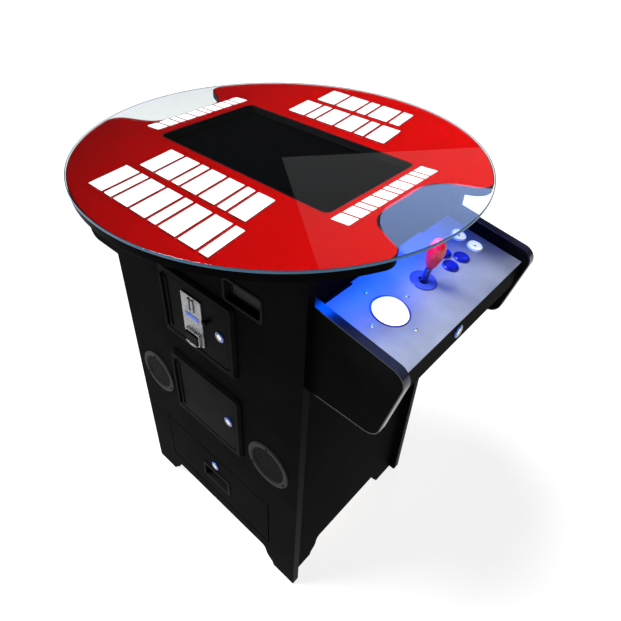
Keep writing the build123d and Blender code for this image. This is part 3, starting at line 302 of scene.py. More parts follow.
def node_mesh(node):
    """The CAD node's mesh, welded and with its flat faces joined."""
    bm = bmesh.new()
    bm.from_mesh(frame["nodes"][node].data)
    bmesh.ops.remove_doubles(bm, verts=bm.verts, dist=1e-5)
    bmesh.ops.dissolve_limit(bm, angle_limit=math.radians(1.5), verts=bm.verts, edges=bm.edges)
    return bm


def islands(node):
    """Each separate solid of a node as its own bmesh, with the middle of its box in millimetres."""
    whole = node_mesh(node)
    whole.verts.index_update()
    seen = set()
    found = []
    for start in whole.verts:
        if start.index in seen:
            continue
        stack = [start]
        group = {start.index}
        while stack:
            vert = stack.pop()
            for edge in vert.link_edges:
                other = edge.other_vert(vert)
                if other.index not in group:
                    group.add(other.index)
                    stack.append(other)
        seen |= group
        part = whole.copy()
        part.verts.ensure_lookup_table()
        outside = [v for i, v in enumerate(part.verts) if i not in group]
        bmesh.ops.delete(part, geom=outside, context="VERTS")
        points = [v.co for v in part.verts]
        low = Vector([min(p[i] for p in points) for i in range(3)])
        high = Vector([max(p[i] for p in points) for i in range(3)])
        found.append((part, (low + high) / 2 / MM, (high - low) / MM))
    whole.free()
    return found


def dress(node, material, width=0.6, segments=2, name=None):
    """Show a CAD node with softened edges and a finished surface."""
    bm = node_mesh(node)
    round_edges(bm, width, segments=segments)
    obj = place_piece(name or f"{node}_shell", bm, material, BODY_OF[node])
    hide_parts(node)
    return obj


def lathe(profile, segments=64, closed=True):
    """A solid of revolution round local z from (radius, height) pairs."""
    bm = bmesh.new()
    rings = []
    for radius, height in profile:
        if radius == 0:
            rings.append([bm.verts.new((0, 0, height * MM))])
            continue
        ring = []
        for index in range(segments):
            angle = 2 * math.pi * index / segments
            x = radius * MM * math.cos(angle)
            y = radius * MM * math.sin(angle)
            ring.append(bm.verts.new((x, y, height * MM)))
        rings.append(ring)
    pairs = list(zip(rings, rings[1:]))
    if closed:
        pairs.append((rings[-1], rings[0]))
    for first, second in pairs:
        if len(first) == 1 and len(second) == 1:
            continue
        for index in range(segments):
            after = (index + 1) % segments
            if len(first) == 1:
                bm.faces.new((first[0], second[index], second[after]))
            elif len(second) == 1:
                bm.faces.new((first[index], first[after], second[0]))
            else:
                bm.faces.new((first[index], first[after], second[after], second[index]))
    return bm


def arc(cx, cy, radius, start, end, count=6):
    """Points on an arc, angles in degrees."""
    points = []
    for index in range(count + 1):
        angle = math.radians(start + (end - start) * index / count)
        points.append((cx + radius * math.cos(angle), cy + radius * math.sin(angle)))
    return points


def rounded(width, height, radius, cx=0.0, cy=0.0, count=6):
    """The outline of a rounded rectangle."""
    w = width / 2 - radius
    h = height / 2 - radius
    points = []
    for x, y, start in ((w, h, 0), (-w, h, 90), (-w, -h, 180), (w, -h, 270)):
        points += arc(cx + x, cy + y, radius, start, start + 90, count)
    return points


def circle(radius, cx=0.0, cy=0.0, count=32):
    return arc(cx, cy, radius, 0, 360 - 360 / count, count - 1)


def plate(outline, low, high, holes=()):
    """A flat plate with holes, from local height low to high."""
    bm = bmesh.new()
    edges = []
    for loop in (outline, *holes):
        ring = [bm.verts.new((x * MM, y * MM, low * MM)) for x, y in loop]
        for index, vert in enumerate(ring):
            edges.append(bm.edges.new((vert, ring[(index + 1) % len(ring)])))
    if holes:
        bmesh.ops.triangle_fill(bm, edges=edges, use_beauty=True, use_dissolve=False)
    else:
        bmesh.ops.contextual_create(bm, geom=list(bm.verts))
    faces = list(bm.faces)
    made = bmesh.ops.extrude_face_region(bm, geom=faces)
    lifted = [g for g in made["geom"] if isinstance(g, bmesh.types.BMVert)]
    bmesh.ops.translate(bm, verts=lifted, vec=(0, 0, (high - low) * MM))
    bmesh.ops.recalc_face_normals(bm, faces=bm.faces)
    return bm


def join(*parts):
    """Several bmeshes as one."""
    bm = bmesh.new()
    for part in parts:
        mesh = bpy.data.meshes.new("join")
        part.to_mesh(mesh)
        part.free()
        bm.from_mesh(mesh)
        bpy.data.meshes.remove(mesh)
    return bm


def spun(bm, degrees):
    """Turn a bmesh round local z."""
    bm.transform(Matrix.Rotation(math.radians(degrees), 4, "Z"))
    return bm


def screw(radius, height):
    """The dome of a pan-head screw, and a thin cross laid on its top that stands for the slot."""
    top = []
    for index in range(7):
        angle = math.radians(90 * index / 6)
        top.append((radius * math.cos(angle), height * (0.25 + 0.75 * math.sin(angle))))
    top[-1] = (0, height)
    head = lathe([(0, -0.5), (radius, -0.5)] + top, 28, closed=False)
    slots = []
    for degrees in (0, 90):
        bar = rounded(radius * 1.05, radius * 0.22, radius * 0.1, count=2)
        slots.append(spun(plate(bar, height * 0.86, height * 1.03), degrees))
    return head, join(*slots)


# ---------------------------------------------------------------- boards and top
for node in ("front_side_panel", "rear_side_panel", "left_end_panel", "right_end_panel", "top_board",
             "control_box_sides", "control_box_boards", "access_door"):
    dress(node, LAMINATE, 0.8)
dress("inner_boards", RAW, 0.5)

# T-moulding: round the control boxes a blue-grey copy of the black trim, painted sheen of the blue panel
# light, that also reflects more; elsewhere black and reflecting little
first = True
for index, (bm, middle, size) in enumerate(islands("edge_trims")):
    on_box = size.z > 150 and size.z < 400
    round_edges(bm, 1.6, segments=4)
    obj = place_piece(f"t_moulding_{index + 1}", bm, TRIM_PAINTED_SHEEN if on_box else TRIM, "cabinet")
    if first:
        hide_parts("edge_trims")
        first = False
dress("screen_bezel", MOULDED, 0.8)
dress("screen_brackets", ZINC, 0.3)
dress("led_strips", LED, 0.6)

# the glass, with the ground edge that shows blue-green; the edge's faint blue glow is painted light
EDGE_ROUND = 1.5
RIM = 0.3
RIM_SUNK = 0.1
glass_low = TABLE_HEIGHT - GLASS
disc_radius = GLASS_RADIUS - RIM
disc_arc = disc_radius - EDGE_ROUND
glass_profile = [(0, glass_low)]
glass_profile += arc(disc_arc, glass_low + EDGE_ROUND, EDGE_ROUND, -90, 0, 5)
glass_profile += arc(disc_arc, TABLE_HEIGHT - EDGE_ROUND, EDGE_ROUND, 0, 90, 5)
glass_profile += [(0, TABLE_HEIGHT)]
rim_arc = GLASS_RADIUS - EDGE_ROUND
rim_inside = disc_radius + RIM_SUNK - EDGE_ROUND * 0.5
edge_profile = arc(rim_arc, glass_low + EDGE_ROUND, EDGE_ROUND, -60, 0, 4)
edge_profile += arc(rim_arc, TABLE_HEIGHT - EDGE_ROUND, EDGE_ROUND, 0, 60, 4)
edge_profile += [(rim_inside, TABLE_HEIGHT - EDGE_ROUND * 0.5), (rim_inside, glass_low + EDGE_ROUND * 0.5)]
place_piece("glass_rim", lathe(edge_profile, 256), GLOWING_GLASS_EDGE, "cabinet")
disc = lathe(glass_profile, 256, closed=False)
glass = place_piece("glass_disc", disc, GLASS_MAT, "cabinet")
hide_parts("glass_top")

# the printed sheet is thinned to leave room for the print on it, all under the glass
SHEET_TOP = ART_TOP - 0.2
sheet = node_mesh("artwork_sheet")
for vert in sheet.verts:
    if vert.co.z > SHEET_TOP * MM:
        vert.co.z = SHEET_TOP * MM
art = place_piece("artwork_base", sheet, ART_RED, "cabinet")
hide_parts("artwork_sheet")


def slanted_bar(x0, x1, y0, y1, lean, low, high):
    """A bold stripe whose ends lean."""
    return plate([(x0, y0), (x1, y0), (x1 + lean, y1), (x0 + lean, y1)], low, high)


# rows of plain leaning stripes: the middle line of each row, its height, its start and end, and
# the lengths of its stripes as shares of the row
SHADE_TOP = ART_TOP - 0.1
PRINT = 0.05
ROWS = (
    ("near_upper", -203.0, 84.0, -140.0, 152.0, -14.0, (2, 2, 1, 2, 2, 1, 2)),
    ("near_lower", -308.0, 88.0, -142.0, 186.0, -14.0, (2, 1, 2, 2, 1, 2, 2, 1)),
    ("far_lower", 213.0, 82.0, -142.0, 130.0, -12.0, (2, 1, 2, 2, 1, 2)),
    ("far_upper", 316.0, 80.0, -142.0, 98.0, -12.0, (2, 2, 1, 2, 1)),
)
GAP = 8.0
STRIP_GAP = 5.0
STRIP_HALF = 17.0
STRIP_SHARES = (2, 2, 1, 2, 2, 1, 2, 2, 1, 2)
SHADE_X = 4.0
SHADE_Y = 5.0
for name, middle, tall, start, end, lean, shares in ROWS:
    room = end - start - GAP * (len(shares) - 1)
    bars = []
    shadows = []
    x = start
    for share in shares:
        wide = room * share / sum(shares)
        low_y = middle - tall / 2
        high_y = middle + tall / 2
        bars.append(slanted_bar(x, x + wide, low_y, high_y, lean, ART_TOP - PRINT, ART_TOP))
        shadows.append(slanted_bar(x + SHADE_X, x + wide + SHADE_X, low_y - SHADE_Y, high_y - SHADE_Y, lean,
                                   SHADE_TOP - PRINT, SHADE_TOP))
        x += wide + GAP
    place_piece(f"print_{name}", join(*bars), ART_WHITE, "cabinet")
    place_piece(f"print_{name}_edge", join(*shadows), ART_SHADE, "cabinet")
for name, x, start, end in (("right", 262.0, -136.0, 140.0), ("left", -274.0, -118.0, 146.0)):
    bars = []
    y = start
    room = end - start - STRIP_GAP * (len(STRIP_SHARES) - 1)
    for share in STRIP_SHARES:
        long = room * share / sum(STRIP_SHARES)
        bars.append(slanted_bar(y, y + long, -STRIP_HALF, STRIP_HALF, -5.0, ART_TOP - PRINT, ART_TOP))
        y += long + STRIP_GAP
    turned = Matrix.Translation((x * MM, 0, 0)) @ Matrix.Rotation(math.radians(90), 4, "Z")
    place_piece(f"print_{name}_strip", join(*bars), ART_WHITE, "cabinet", turned)

# flat screen: its face, with a narrow black border in front of the glass
dress("screen_panel", SCREEN, 1.0)
border = plate(rounded(498, 298, 4), 1064.35, 1064.5, [rounded(462, 264, 1.5)])
place_piece("screen_border", border, MOULDED, "cabinet")


# ---------------------------------------------------------------- coin face
dress("door_frames", COATED, 0.8, 3)
dress("coin_door", COATED, 0.5)
dress("cash_door", COATED, 0.5)
dress("fixed_hinges", COATED, 0.25)
dress("cash_box", ZINC, 0.5)
dress("power_supply", ZINC, 0.8)
dress("power_inlet", MOULDED, 0.4)
dress("coin_return_flap", MOULDED, 0.3)
dress("reject_button", COATED, 0.3)
dress("speaker_drivers", MOULDED, 0.4)


def make_lock(node, places, body):
    """Barrels from the CAD, with a turned flange and a blue collar behind it."""
    bm = node_mesh(node)
    round_edges(bm, 0.3)
    barrel = place_piece(f"{node}_barrel", bm, LOCK_STEEL, body)
    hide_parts(node)
    for index, place in enumerate(places):
        collar = lathe(arc(11.8, 1.1, 1.1, -90, 90, 6) + [(10.2, 2.2), (10.2, 0.0)], 48)
        place_piece(f"{node}_collar_{index + 1}", collar, BLUE_STRIP, body, place)


for node, place, body in (
    ("coin_door_lock", face_place(78, 787, DOOR_Y), "coin_door"),
    ("cash_door_lock", face_place(84, 520, DOOR_Y), "cash_door"),
    ("access_door_lock", face_place(0, 244, FACE_Y), "access_door"),
):
    make_lock(node, [place], body)
for node in ("coin_door_cam", "cash_door_cam", "access_door_cam", "right_panel_cam", "left_panel_cam"):
    dress(node, CHROME, 0.25)


def rail_place(side):
    """The lock's place on a control box rail: local z points at the player."""
    return Matrix(((0, 0, side, side * 0.460), (side, 0, 0, -side * 0.030), (0, 1, 0, 0.899), (0, 0, 0, 1)))


make_lock("panel_locks", [rail_place(1), rail_place(-1)], "cabinet")

# perforated speaker grilles held by three screws; the holes stand in staggered rows
SPEAKER_RING = [
    (49.0, 0.2), (49.0, 1.8), (50.4, 2.0), (51.6, 3.2), (53.0, 3.9), (60.0, 4.0), (61.8, 3.4), (62.8, 2.2),
    (63.0, 0.0), (50, 0.0),
]
HOLE_PITCH = 4.6
HOLE_RADIUS = 1.55
HOLES_WITHIN = 46.5
HOLE_ROWS = int(46 / (HOLE_PITCH * 0.866)) + 1
SCREW_CIRCLE = 56.6
for name, side in (("left", -1), ("right", 1)):
    place = face_place(side * SPEAKER[0], SPEAKER[1])
    ring = lathe(SPEAKER_RING, 128)
    ring_obj = place_piece(f"speaker_ring_{name}", ring, GREY_AND_LIT_FLOOR, "cabinet", place)
    if side == -1:
        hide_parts("speaker_grilles")
    holes = []
    for row in range(-HOLE_ROWS, HOLE_ROWS + 1):
        y = row * HOLE_PITCH * 0.866
        shift = HOLE_PITCH / 2 if row % 2 else 0
        for column in range(-12, 13):
            x = column * HOLE_PITCH + shift
            if math.hypot(x, y) < HOLES_WITHIN:
                holes.append(circle(HOLE_RADIUS, x, y, 6))
    mesh_plate = plate(circle(50.0, count=96), 0.4, 1.2, holes)
    place_piece(f"speaker_mesh_{name}", mesh_plate, MOULDED, "cabinet", place, crease=60)
    for index, angle in enumerate((92, 212, 332)):
        head, slots = screw(3.0, 1.6)
        x = SCREW_CIRCLE * math.cos(math.radians(angle))
        y = SCREW_CIRCLE * math.sin(math.radians(angle))
        at = place @ Matrix.Translation(Vector((x, y, 4.0)) * MM)
        place_piece(f"speaker_screw_{name}_{index + 1}", head, COATED, "cabinet", at)
        place_piece(f"speaker_screw_slot_{name}_{index + 1}", slots, GREY_AND_LIT_FLOOR, "cabinet", at)


def acceptor():
    """The cast plate of the coin acceptor, with a raised entry, a blue strip and the return scoop."""
    place = face_place(COIN_PLATE[0], COIN_PLATE[1], DOOR_Y)
    cup = CUP_Z - COIN_PLATE[1]
    mouth = rounded(38, 26, 1.0, 0, cup)
    slot = rounded(3.5, 30, 1.6, 0, 40)
    body = plate(rounded(63.5, 127, 3), 0, 3, [mouth, slot])
    round_edges(body, 0.6)
    plate_obj = place_piece("coin_plate_front", body, COIN_GREY, "coin_door", place)
    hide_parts("coin_acceptor")
    block = plate(rounded(51, 111, 1), -70, 0, [mouth, slot])
    place_piece("coin_mechanism", block, MOULDED, "coin_door", place)
    # raised rails on both sides of the coin entry
    for name, x in (("left", -6.0), ("right", 6.0)):
        rail = plate(rounded(6.5, 36, 3, x, 40), 2.8, 6.5)
        round_edges(rail, 1.2, segments=3)
        place_piece(f"coin_entry_{name}", rail, COIN_GREY, "coin_door", place)
    strip = plate(rounded(43, 10.5, 1.2, 0, 8.5), 2.8, 4.0)
    round_edges(strip, 0.4)
    place_piece("coin_strip", strip, BLUE_STRIP, "coin_door", place)
    # return scoop: a frame round the opening, its lip bulging outwards below the flap
    frame_part = plate(rounded(46, 34, 3, 0, cup), 2.8, 9.0, [mouth])
    round_edges(frame_part, 1.0, segments=3)
    place_piece("coin_scoop_frame", frame_part, COIN_GREY, "coin_door", place)
    lip = plate(arc(0, cup + 14, 34, 235, 305, 16), 6.0, 13.5)
    round_edges(lip, 1.4, segments=3)
    place_piece("coin_scoop_lip", lip, COIN_GREY, "coin_door", place)
    for index, (x, y) in enumerate(((-27, 58.5), (27, 58.5), (-27, -58.5), (27, -58.5))):
        head, slots = screw(2.6, 1.3)
        at = place @ Matrix.Translation(Vector((x, y, 3.0)) * MM)
        place_piece(f"coin_screw_{index + 1}", head, ZINC, "coin_door", at)
        # on the coin plate's screws the black cross on the zinc head is painted shade of the recessed slot
        place_piece(f"coin_screw_painted_slot_shade_{index + 1}", slots, COATED, "coin_door", at)


acceptor()


def flush_pull(node, place, body):
    """A flush finger pull: a moulded cup with a flange, and a lighter floor in it, painted light falling into
    the cup; far lighter in the access door's pull.
    """
    bm = bmesh.new()
    loops = (
        (rounded(108, 60, 8), 0.0), (rounded(108, 60, 8), 1.2), (rounded(106.8, 58.8, 7.4), 1.9),
        (rounded(105, 57, 6.6), 2.0), (rounded(96, 48, 5.4), 2.0), (rounded(94.4, 46.4, 5), 1.4),
        (rounded(94, 46, 5), 0.4), (rounded(92, 44, 5), -11.0), (rounded(88, 40, 5), -13.4),
        (rounded(80, 32, 5), -14.0),
    )
    rings = []
    for outline, height in loops:
        rings.append([bm.verts.new((x * MM, y * MM, height * MM)) for x, y in outline])
    count = len(rings[0])
    for first, second in zip(rings, rings[1:]):
        for index in range(count):
            after = (index + 1) % count
            bm.faces.new((first[index], first[after], second[after], second[index]))
    bm.faces.new(rings[-1])
    back = [bm.verts.new((x * MM, y * MM, 0)) for x, y in rounded(99, 51, 2)]
    deep = [bm.verts.new((x * MM, y * MM, -15.8 * MM)) for x, y in rounded(99, 51, 2)]
    for first, second in ((rings[0], back), (back, deep)):
        for index in range(count):
            after = (index + 1) % count
            bm.faces.new((first[index], first[after], second[after], second[index]))
    bm.faces.new(deep)
    obj = place_piece(f"{node}_cup", bm, MOULDED, body, place, crease=40)
    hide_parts(node)
    # the cup's floor, drawn lighter than the moulded cup: painted light falling into it
    painted_light_floor = plate(rounded(79, 31, 4), -13.9, -13.5)
    floor_light_finish = GREY_AND_LIT_FLOOR if node == "upper_pull" else PULL_FLOOR_PAINTED_LIGHT
    place_piece(f"{node}_liner", painted_light_floor, floor_light_finish, body, place)


flush_pull("upper_pull", face_place(142, 918), "cabinet")
flush_pull("access_door_pull", face_place(0, 185), "access_door")


# ---------------------------------------------------------------- electronics
board = join(*[bm for bm, middle, size in islands("game_board")])
round_edges(board, 0.3)
board_obj = place_piece("game_board_card", board, BOARD_GREEN, "cabinet")
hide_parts("game_board")

# ---------------------------------------------------------------- control panels
HOUSING_PROFILE = [
    (16.5, 0.0), (16.45, 1.4), (16.1, 2.6), (15.5, 3.5), (14.8, 3.9), (14.1, 3.7), (13.6, 3.0), (13.2, 1.8),
    (13.0, 0.4), (12.6, -2.0), (12.6, -24.8), (0, -24.8), (0, -28), (13.8, -28), (13.8, 0.0),
]
PLUNGER_PROFILE = [
    (0, 2.4), (3.0, 2.5), (6.0, 2.95), (8.4, 3.6), (10.0, 4.25), (10.9, 4.5), (11.6, 4.35), (12.1, 3.8),
    (12.4, 2.9), (12.4, -18), (0, -18),
]


def button(side, prefix, number, u, v, cap_material, rim_material, first):
    """Rim, barrel, nut, switch and the sprung cap of one button."""
    place = panel_place(side, u, v)
    name = f"{prefix}_{number}"
    end = prefix.split("_")[0]
    panel_body = BODY_OF[f"{end}_control_panel"]
    rim = place_piece(f"{name}_rim", lathe(HOUSING_PROFILE, 72), rim_material, panel_body, place)
    if first:
        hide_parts(f"{end}_button_housings")
    nut = lathe([(14.0, -10.0), (17.0, -10.0), (17.5, -9.4), (17.5, -3.4), (17.0, -2.6), (14.0, -2.6)], 24)
    place_piece(f"{name}_nut", nut, rim_material, panel_body, place, crease=10)
    switch = plate(rounded(10, 26, 0.6), -44, -28)
    round_edges(switch, 0.4)
    place_piece(f"{name}_switch", switch, MOULDED, panel_body, place)
    plunger = lathe(PLUNGER_PROFILE, 72, closed=False)
    cap = place_piece(f"{name}_cap", plunger, cap_material, name, place)
    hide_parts(name)


BAT_PROFILE = [
    (0, 96.0), (3.4, 95.6), (6.6, 94.3), (9.5, 92.0), (12.0, 88.6), (13.9, 84.2), (15.1, 79.0), (15.6, 73.5),
    (15.6, 68.0), (15.1, 62.5), (14.2, 57.0), (13.0, 51.5), (11.6, 46.5), (10.2, 42.0), (8.9, 38.6),
    (7.8, 36.6), (6.8, 36.0), (0, 36.0),
]

SHAFT_PROFILE = [
    (0, 37.0), (4.75, 37.0), (4.75, -35.0), (6.0, -37.0), (6.0, -48.6), (5.6, -49.0), (0, -49.0),
]
CROSS_PROFILE = [(0, -14.5), (1.8, -14.5), (2.0, -14.3), (2.0, 14.3), (1.8, 14.5), (0, 14.5)]
PIVOT_DEPTH = 18.0
# the joystick's housing and its switches are told apart by the volume of their boxes, in mm3
HOUSING_VOLUME = 60000

for name, side in (("right", 1), ("left", -1)):
    panel_body = f"{name}_control_panel"
    dress(panel_body, PANEL, 0.35)
    for index, (u, v) in enumerate(ACTION_BUTTONS):
        button(side, f"{name}_action_button", index + 1, u, v, BLUE, BLUE, index == 0)
    if side == 1:
        for index, (u, v) in enumerate(START_BUTTONS):
            button(side, f"{name}_start_button", index + 1, u, v, WHITE_LIT, WHITE, False)
            mark = lathe([(0, 2.45), (2.6, 2.45), (2.6, 2.62), (0, 2.62)], 32, closed=False)
            cap_body = f"{name}_start_button_{index + 1}"
            at = panel_place(side, u, v)
            place_piece(f"{name}_start_dot_{index + 1}", mark, BLUE_DEEP, cap_body, at)
    # joystick: washer, housing with its switches, gimbal, shaft and bat top
    at = panel_place(side)
    lever = f"{name}_joystick_lever"
    washer = lathe([(10.0, 0.05), (24.6, 0.05), (24.6, 1.35), (11.0, 1.4), (10.2, 1.1)], 96)
    place_piece(f"{name}_dust_washer", washer, WASHER_BLUE, panel_body, at)
    bead = lathe([(24.6, 0.05), (25.6, 0.05), (26.0, 0.5), (25.9, 1.1), (25.3, 1.5), (24.6, 1.4)], 96)
    place_piece(f"{name}_dust_washer_bead", bead, BLUE_DEEP, panel_body, at)
    boot = lathe([(6.4, -4.6), (10.8, -4.6), (10.8, -4.0), (6.4, -4.0)], 64)
    place_piece(f"{name}_stick_boot", boot, WASHER_BLUE, lever, at)
    first = True
    for bm, middle, size in islands(f"{name}_joystick_base"):
        above = (at.inverted() @ (middle * MM)).z > 0
        if above:
            bm.free()
            continue
        round_edges(bm, 0.4)
        big = size.x * size.y * size.z > HOUSING_VOLUME
        label = "housing" if big else f"switch_{round(middle.x)}_{round(middle.y)}"
        label = label.replace("-", "m")
        material = MOULDED if big else CHIP
        obj = place_piece(f"{name}_stick_{label}", bm, material, panel_body)
        if first:
            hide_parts(f"{name}_joystick_base")
            first = False
    dress(f"{name}_joystick_gimbal", MOULDED, 0.3)
    shaft = lathe(SHAFT_PROFILE, 40, closed=False)
    sleeve = lathe([(4.9, 4.0), (6.2, 4.0), (6.5, 4.3), (6.5, 36.2), (4.9, 36.2)], 48)
    place_piece(f"{name}_stick_sleeve", sleeve, BLUE_DEEP, lever, at)
    cross = lathe(CROSS_PROFILE, 20, closed=False)
    cross.transform(Matrix.Translation((0, 0, -PIVOT_DEPTH * MM)) @ Matrix.Rotation(math.radians(90), 4, "Y"))
    shaft_obj = place_piece(f"{name}_stick_shaft", join(shaft, cross), DARK_STEEL, lever, at)
    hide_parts(lever)
    bat = lathe(BAT_PROFILE, 72, closed=False)
    place_piece(f"{name}_stick_bat", bat, RED, lever, at)

# trackball: collar, four dome bolts, housing and the ball
u, v = TRACKBALL
ball_place = panel_place(1, u, v)
collar_profile = [
    (33.6, 0.02), (33.8, 1.0), (34.3, 1.4), (35.2, 1.5), (36.0, 1.3), (36.4, 0.8), (36.5, 0.02),
]
collar_obj = place_piece("trackball_collar", lathe(collar_profile, 128), BLUE_DEEP, "right_control_panel",
                         ball_place)
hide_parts("trackball_housing")
HEAD_RADIUS = 3.9
HEAD_EDGE = 0.5
HEAD_DOME = 1.7
dome = [(0, -4.9), (2.3, -4.9), (2.3, 0.0), (HEAD_RADIUS, 0.0), (HEAD_RADIUS, HEAD_EDGE)]
for degrees in range(10, 90, 10):
    angle = math.radians(degrees)
    dome.append((HEAD_RADIUS * math.cos(angle), HEAD_EDGE + HEAD_DOME * math.sin(angle)))
dome.append((0, HEAD_EDGE + HEAD_DOME))
for index in range(4):
    angle = math.radians(90 * index)
    at = panel_place(1, u + BOLT_RADIUS * math.cos(angle), v + BOLT_RADIUS * math.sin(angle))
    bolt = lathe(dome, 36, closed=False)
    place_piece(f"trackball_bolt_{index + 1}", bolt, BOLT_STEEL, "right_control_panel", at)
CAGE_SIZE = 80
for bm, middle, size in islands("trackball_housing"):
    if max(size) < CAGE_SIZE:
        bm.free()
        continue
    round_edges(bm, 0.6)
    place_piece("trackball_cage", bm, MOULDED, "right_control_panel")
sphere = []
for index in range(49):
    angle = math.radians(-90 + 180 * index / 48)
    sphere.append((BALL_RADIUS * math.cos(angle), BALL_RADIUS * math.sin(angle) - BALL_DEPTH))
sphere[0] = (0, -BALL_RADIUS - BALL_DEPTH)
sphere[-1] = (0, BALL_RADIUS - BALL_DEPTH)
# the ball's glow is painted light
ball = place_piece("trackball_globe", lathe(sphere, 96, closed=False), BALL_PAINTED_GLOW, "trackball_ball",
                   ball_place)
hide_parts("trackball_ball")

# ---------------------------------------------------------------- floor, light and camera
FLOOR = finish("floor_white", (0.34, 0.34, 0.34), (0.36, 0.36, 0.36), 0.6, 0.05, blotch=1.0, grain=60,
               depth=0.0001, strength=0.1)
lit(FLOOR, (1, 1, 1), 0.85)
floor_mesh = bpy.data.meshes.new("floor")
reach = 40.0
corners = [(-reach, -reach, 0), (reach, -reach, 0), (reach, reach, 0), (-reach, reach, 0)]
floor_mesh.from_pydata(corners, [], [(0, 1, 2, 3)])
floor = bpy.data.objects.new("floor", floor_mesh)
bpy.context.scene.collection.objects.link(floor)
floor.data.materials.append(FLOOR)

world = bpy.data.worlds.new("studio")
bpy.context.scene.world = world
world.use_nodes = True
world.node_tree.nodes["Background"].inputs["Color"].default_value = (0.95, 0.97, 1.0, 1)
world.node_tree.nodes["Background"].inputs["Strength"].default_value = 0.012


def softbox(name, place, target, size, power, colour=(1, 1, 1)):
    """A rectangular lamp at a place in metres, turned to a target."""
    light = bpy.data.lights.new(name, "AREA")
    light.shape = "RECTANGLE"
    light.size, light.size_y = size
    light.energy = power
    light.color = colour
    obj = bpy.data.objects.new(name, light)
    obj.location = place
    obj.rotation_euler = (Vector(target) - Vector(place)).to_track_quat("-Z", "Y").to_euler()
    bpy.context.scene.collection.objects.link(obj)
    return obj


# the overhead softbox: its near edge is what shows as the slanting line in the glass
BOX_HEIGHT = 2.5
EDGE_NORMAL = Vector((0.617, 0.787, 0))
EDGE_AWAY = 0.443
BOX_SIZE = (6.0, 5.0)
box_middle = EDGE_NORMAL * (EDGE_AWAY + BOX_SIZE[1] / 2)
overhead = softbox("overhead", (box_middle.x, box_middle.y, BOX_HEIGHT),
                   (box_middle.x, box_middle.y, 0), BOX_SIZE, 11)
overhead.rotation_euler = (0, 0, math.atan2(-EDGE_NORMAL.x, EDGE_NORMAL.y))
key = bpy.data.lights.new("key", "SUN")
key.energy = 3.9
key.angle = math.radians(24)
key_object = bpy.data.objects.new("key", key)
key_object.rotation_euler = Vector((-0.46, -0.30, 1.0)).to_track_quat("Z", "Y").to_euler()
bpy.context.scene.collection.objects.link(key_object)
for side in (1, -1):
    softbox(f"panel_glow_{side + 2}", (side * 0.292, -0.02, 1.058), (side * 0.36, -0.02, 0.94),
            (0.36, 0.03), 1.25, (0.0, 0.085, 1.0))
    fill = softbox(f"panel_fill_{side + 2}", (side * 0.50, side * -0.20, 1.07),
                   (side * 0.43, side * -0.15, 0.93), (0.20, 0.10), 0.12, (0.90, 0.97, 0.95))
    fill.data.spread = math.radians(52)


# a lamp behind the table, seen as a pale bluish sheen in the glass over the right-hand cut-out.
# It shines only inside an outline like that of the cut-out, so that none of it falls on the print.
# The outline is flared and open towards +X, with two round corners and a curve at each horn.
SHEEN = 2.44
WINDOW_PLACE = (-0.262, 1.345, 1.9)
WINDOW_SIZE = (0.44, 0.80)
WINDOW_X = -0.456
WINDOW_Y = 1.339
WINDOW_HALF = 0.269
WINDOW_CORNER = 0.155
WINDOW_FLARE = math.radians(25.8)
HORN_DEPTH = 0.235
HORN_CURVE = 6.0
window_power = SHEEN * math.pi * WINDOW_SIZE[0] * WINDOW_SIZE[1]
window = softbox("rear_window", WINDOW_PLACE, (WINDOW_PLACE[0], WINDOW_PLACE[1], 0), WINDOW_SIZE,
                 window_power, (0.36, 0.52, 1.0))
window.rotation_euler = (0, 0, 0)
window.data.use_nodes = True
lamp_nodes = window.data.node_tree.nodes
lamp_links = window.data.node_tree.links
lamp_place = lamp_nodes.new("ShaderNodeNewGeometry")
axes = lamp_nodes.new("ShaderNodeSeparateXYZ")
lamp_links.new(lamp_place.outputs["Position"], axes.inputs["Vector"])


def reckon(operation, *values):
    """The output of one math node, from numbers or other nodes' outputs."""
    node = lamp_nodes.new("ShaderNodeMath")
    node.operation = operation
    for socket, value in zip(node.inputs, values):
        if isinstance(value, (int, float)):
            socket.default_value = value
        else:
            lamp_links.new(value, socket)
    return node.outputs["Value"]


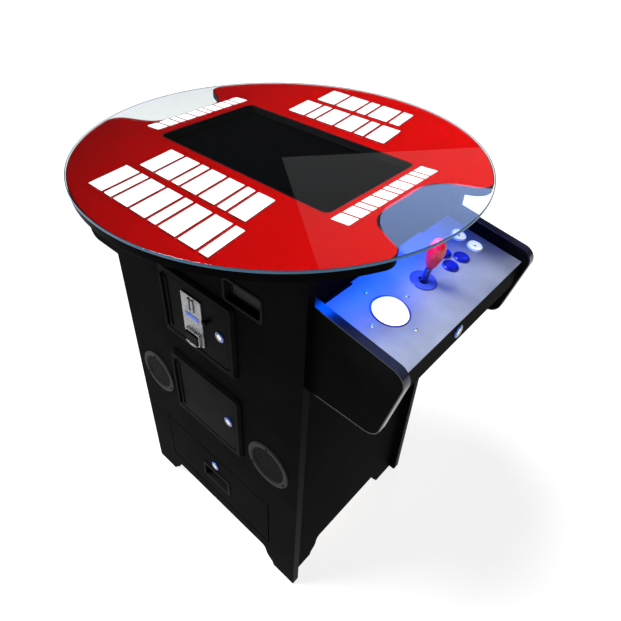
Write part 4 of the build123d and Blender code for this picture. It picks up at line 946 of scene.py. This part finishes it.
depth = reckon("SUBTRACT", axes.outputs["X"], WINDOW_X)
across = reckon("ABSOLUTE", reckon("SUBTRACT", axes.outputs["Y"], WINDOW_Y))
flare = reckon("MULTIPLY", depth, math.tan(WINDOW_FLARE))
horn = reckon("MAXIMUM", reckon("SUBTRACT", depth, HORN_DEPTH), 0.0)
horn = reckon("MULTIPLY", reckon("MULTIPLY", horn, horn), HORN_CURVE)
half = reckon("ADD", reckon("ADD", flare, horn), WINDOW_HALF)
out_y = reckon("MAXIMUM", reckon("SUBTRACT", across, reckon("SUBTRACT", half, WINDOW_CORNER)), 0.0)
out_x = reckon("MAXIMUM", reckon("SUBTRACT", WINDOW_CORNER, depth), 0.0)
squares = reckon("ADD", reckon("MULTIPLY", out_x, out_x), reckon("MULTIPLY", out_y, out_y))
shown = reckon("LESS_THAN", reckon("SQRT", squares), WINDOW_CORNER)
lamp_links.new(shown, lamp_nodes["Emission"].inputs["Strength"])
bpy.context.scene.view_settings.view_transform = "Standard"

# the camera solved from the photo: lens and place, in millimetres and metres
LENS = 30.77
SHIFT = (0.0314, -0.0454)
CAMERA_PLACE = (0.7015, -0.7402, 1.5354)
YAW = math.radians(42.043)
PITCH = math.radians(37.921)
ROLL = math.radians(1.453)
camera_data = bpy.data.cameras.new("camera")
camera_data.lens = LENS
camera_data.sensor_width = 36.0
camera_data.shift_x, camera_data.shift_y = SHIFT
camera_data.clip_start = 0.05
camera_data.clip_end = 200.0
camera = bpy.data.objects.new("camera", camera_data)
forward = Vector((-math.sin(YAW) * math.cos(PITCH), math.cos(YAW) * math.cos(PITCH), -math.sin(PITCH)))
level = Vector((math.cos(YAW), math.sin(YAW), 0))
lift = level.cross(forward)
right = level * math.cos(ROLL) + lift * math.sin(ROLL)
up = lift * math.cos(ROLL) - level * math.sin(ROLL)
turn = Matrix((right, up, -forward)).transposed().to_4x4()
camera.matrix_world = Matrix.Translation(CAMERA_PLACE) @ turn
bpy.context.scene.collection.objects.link(camera)
bpy.context.scene.camera = camera
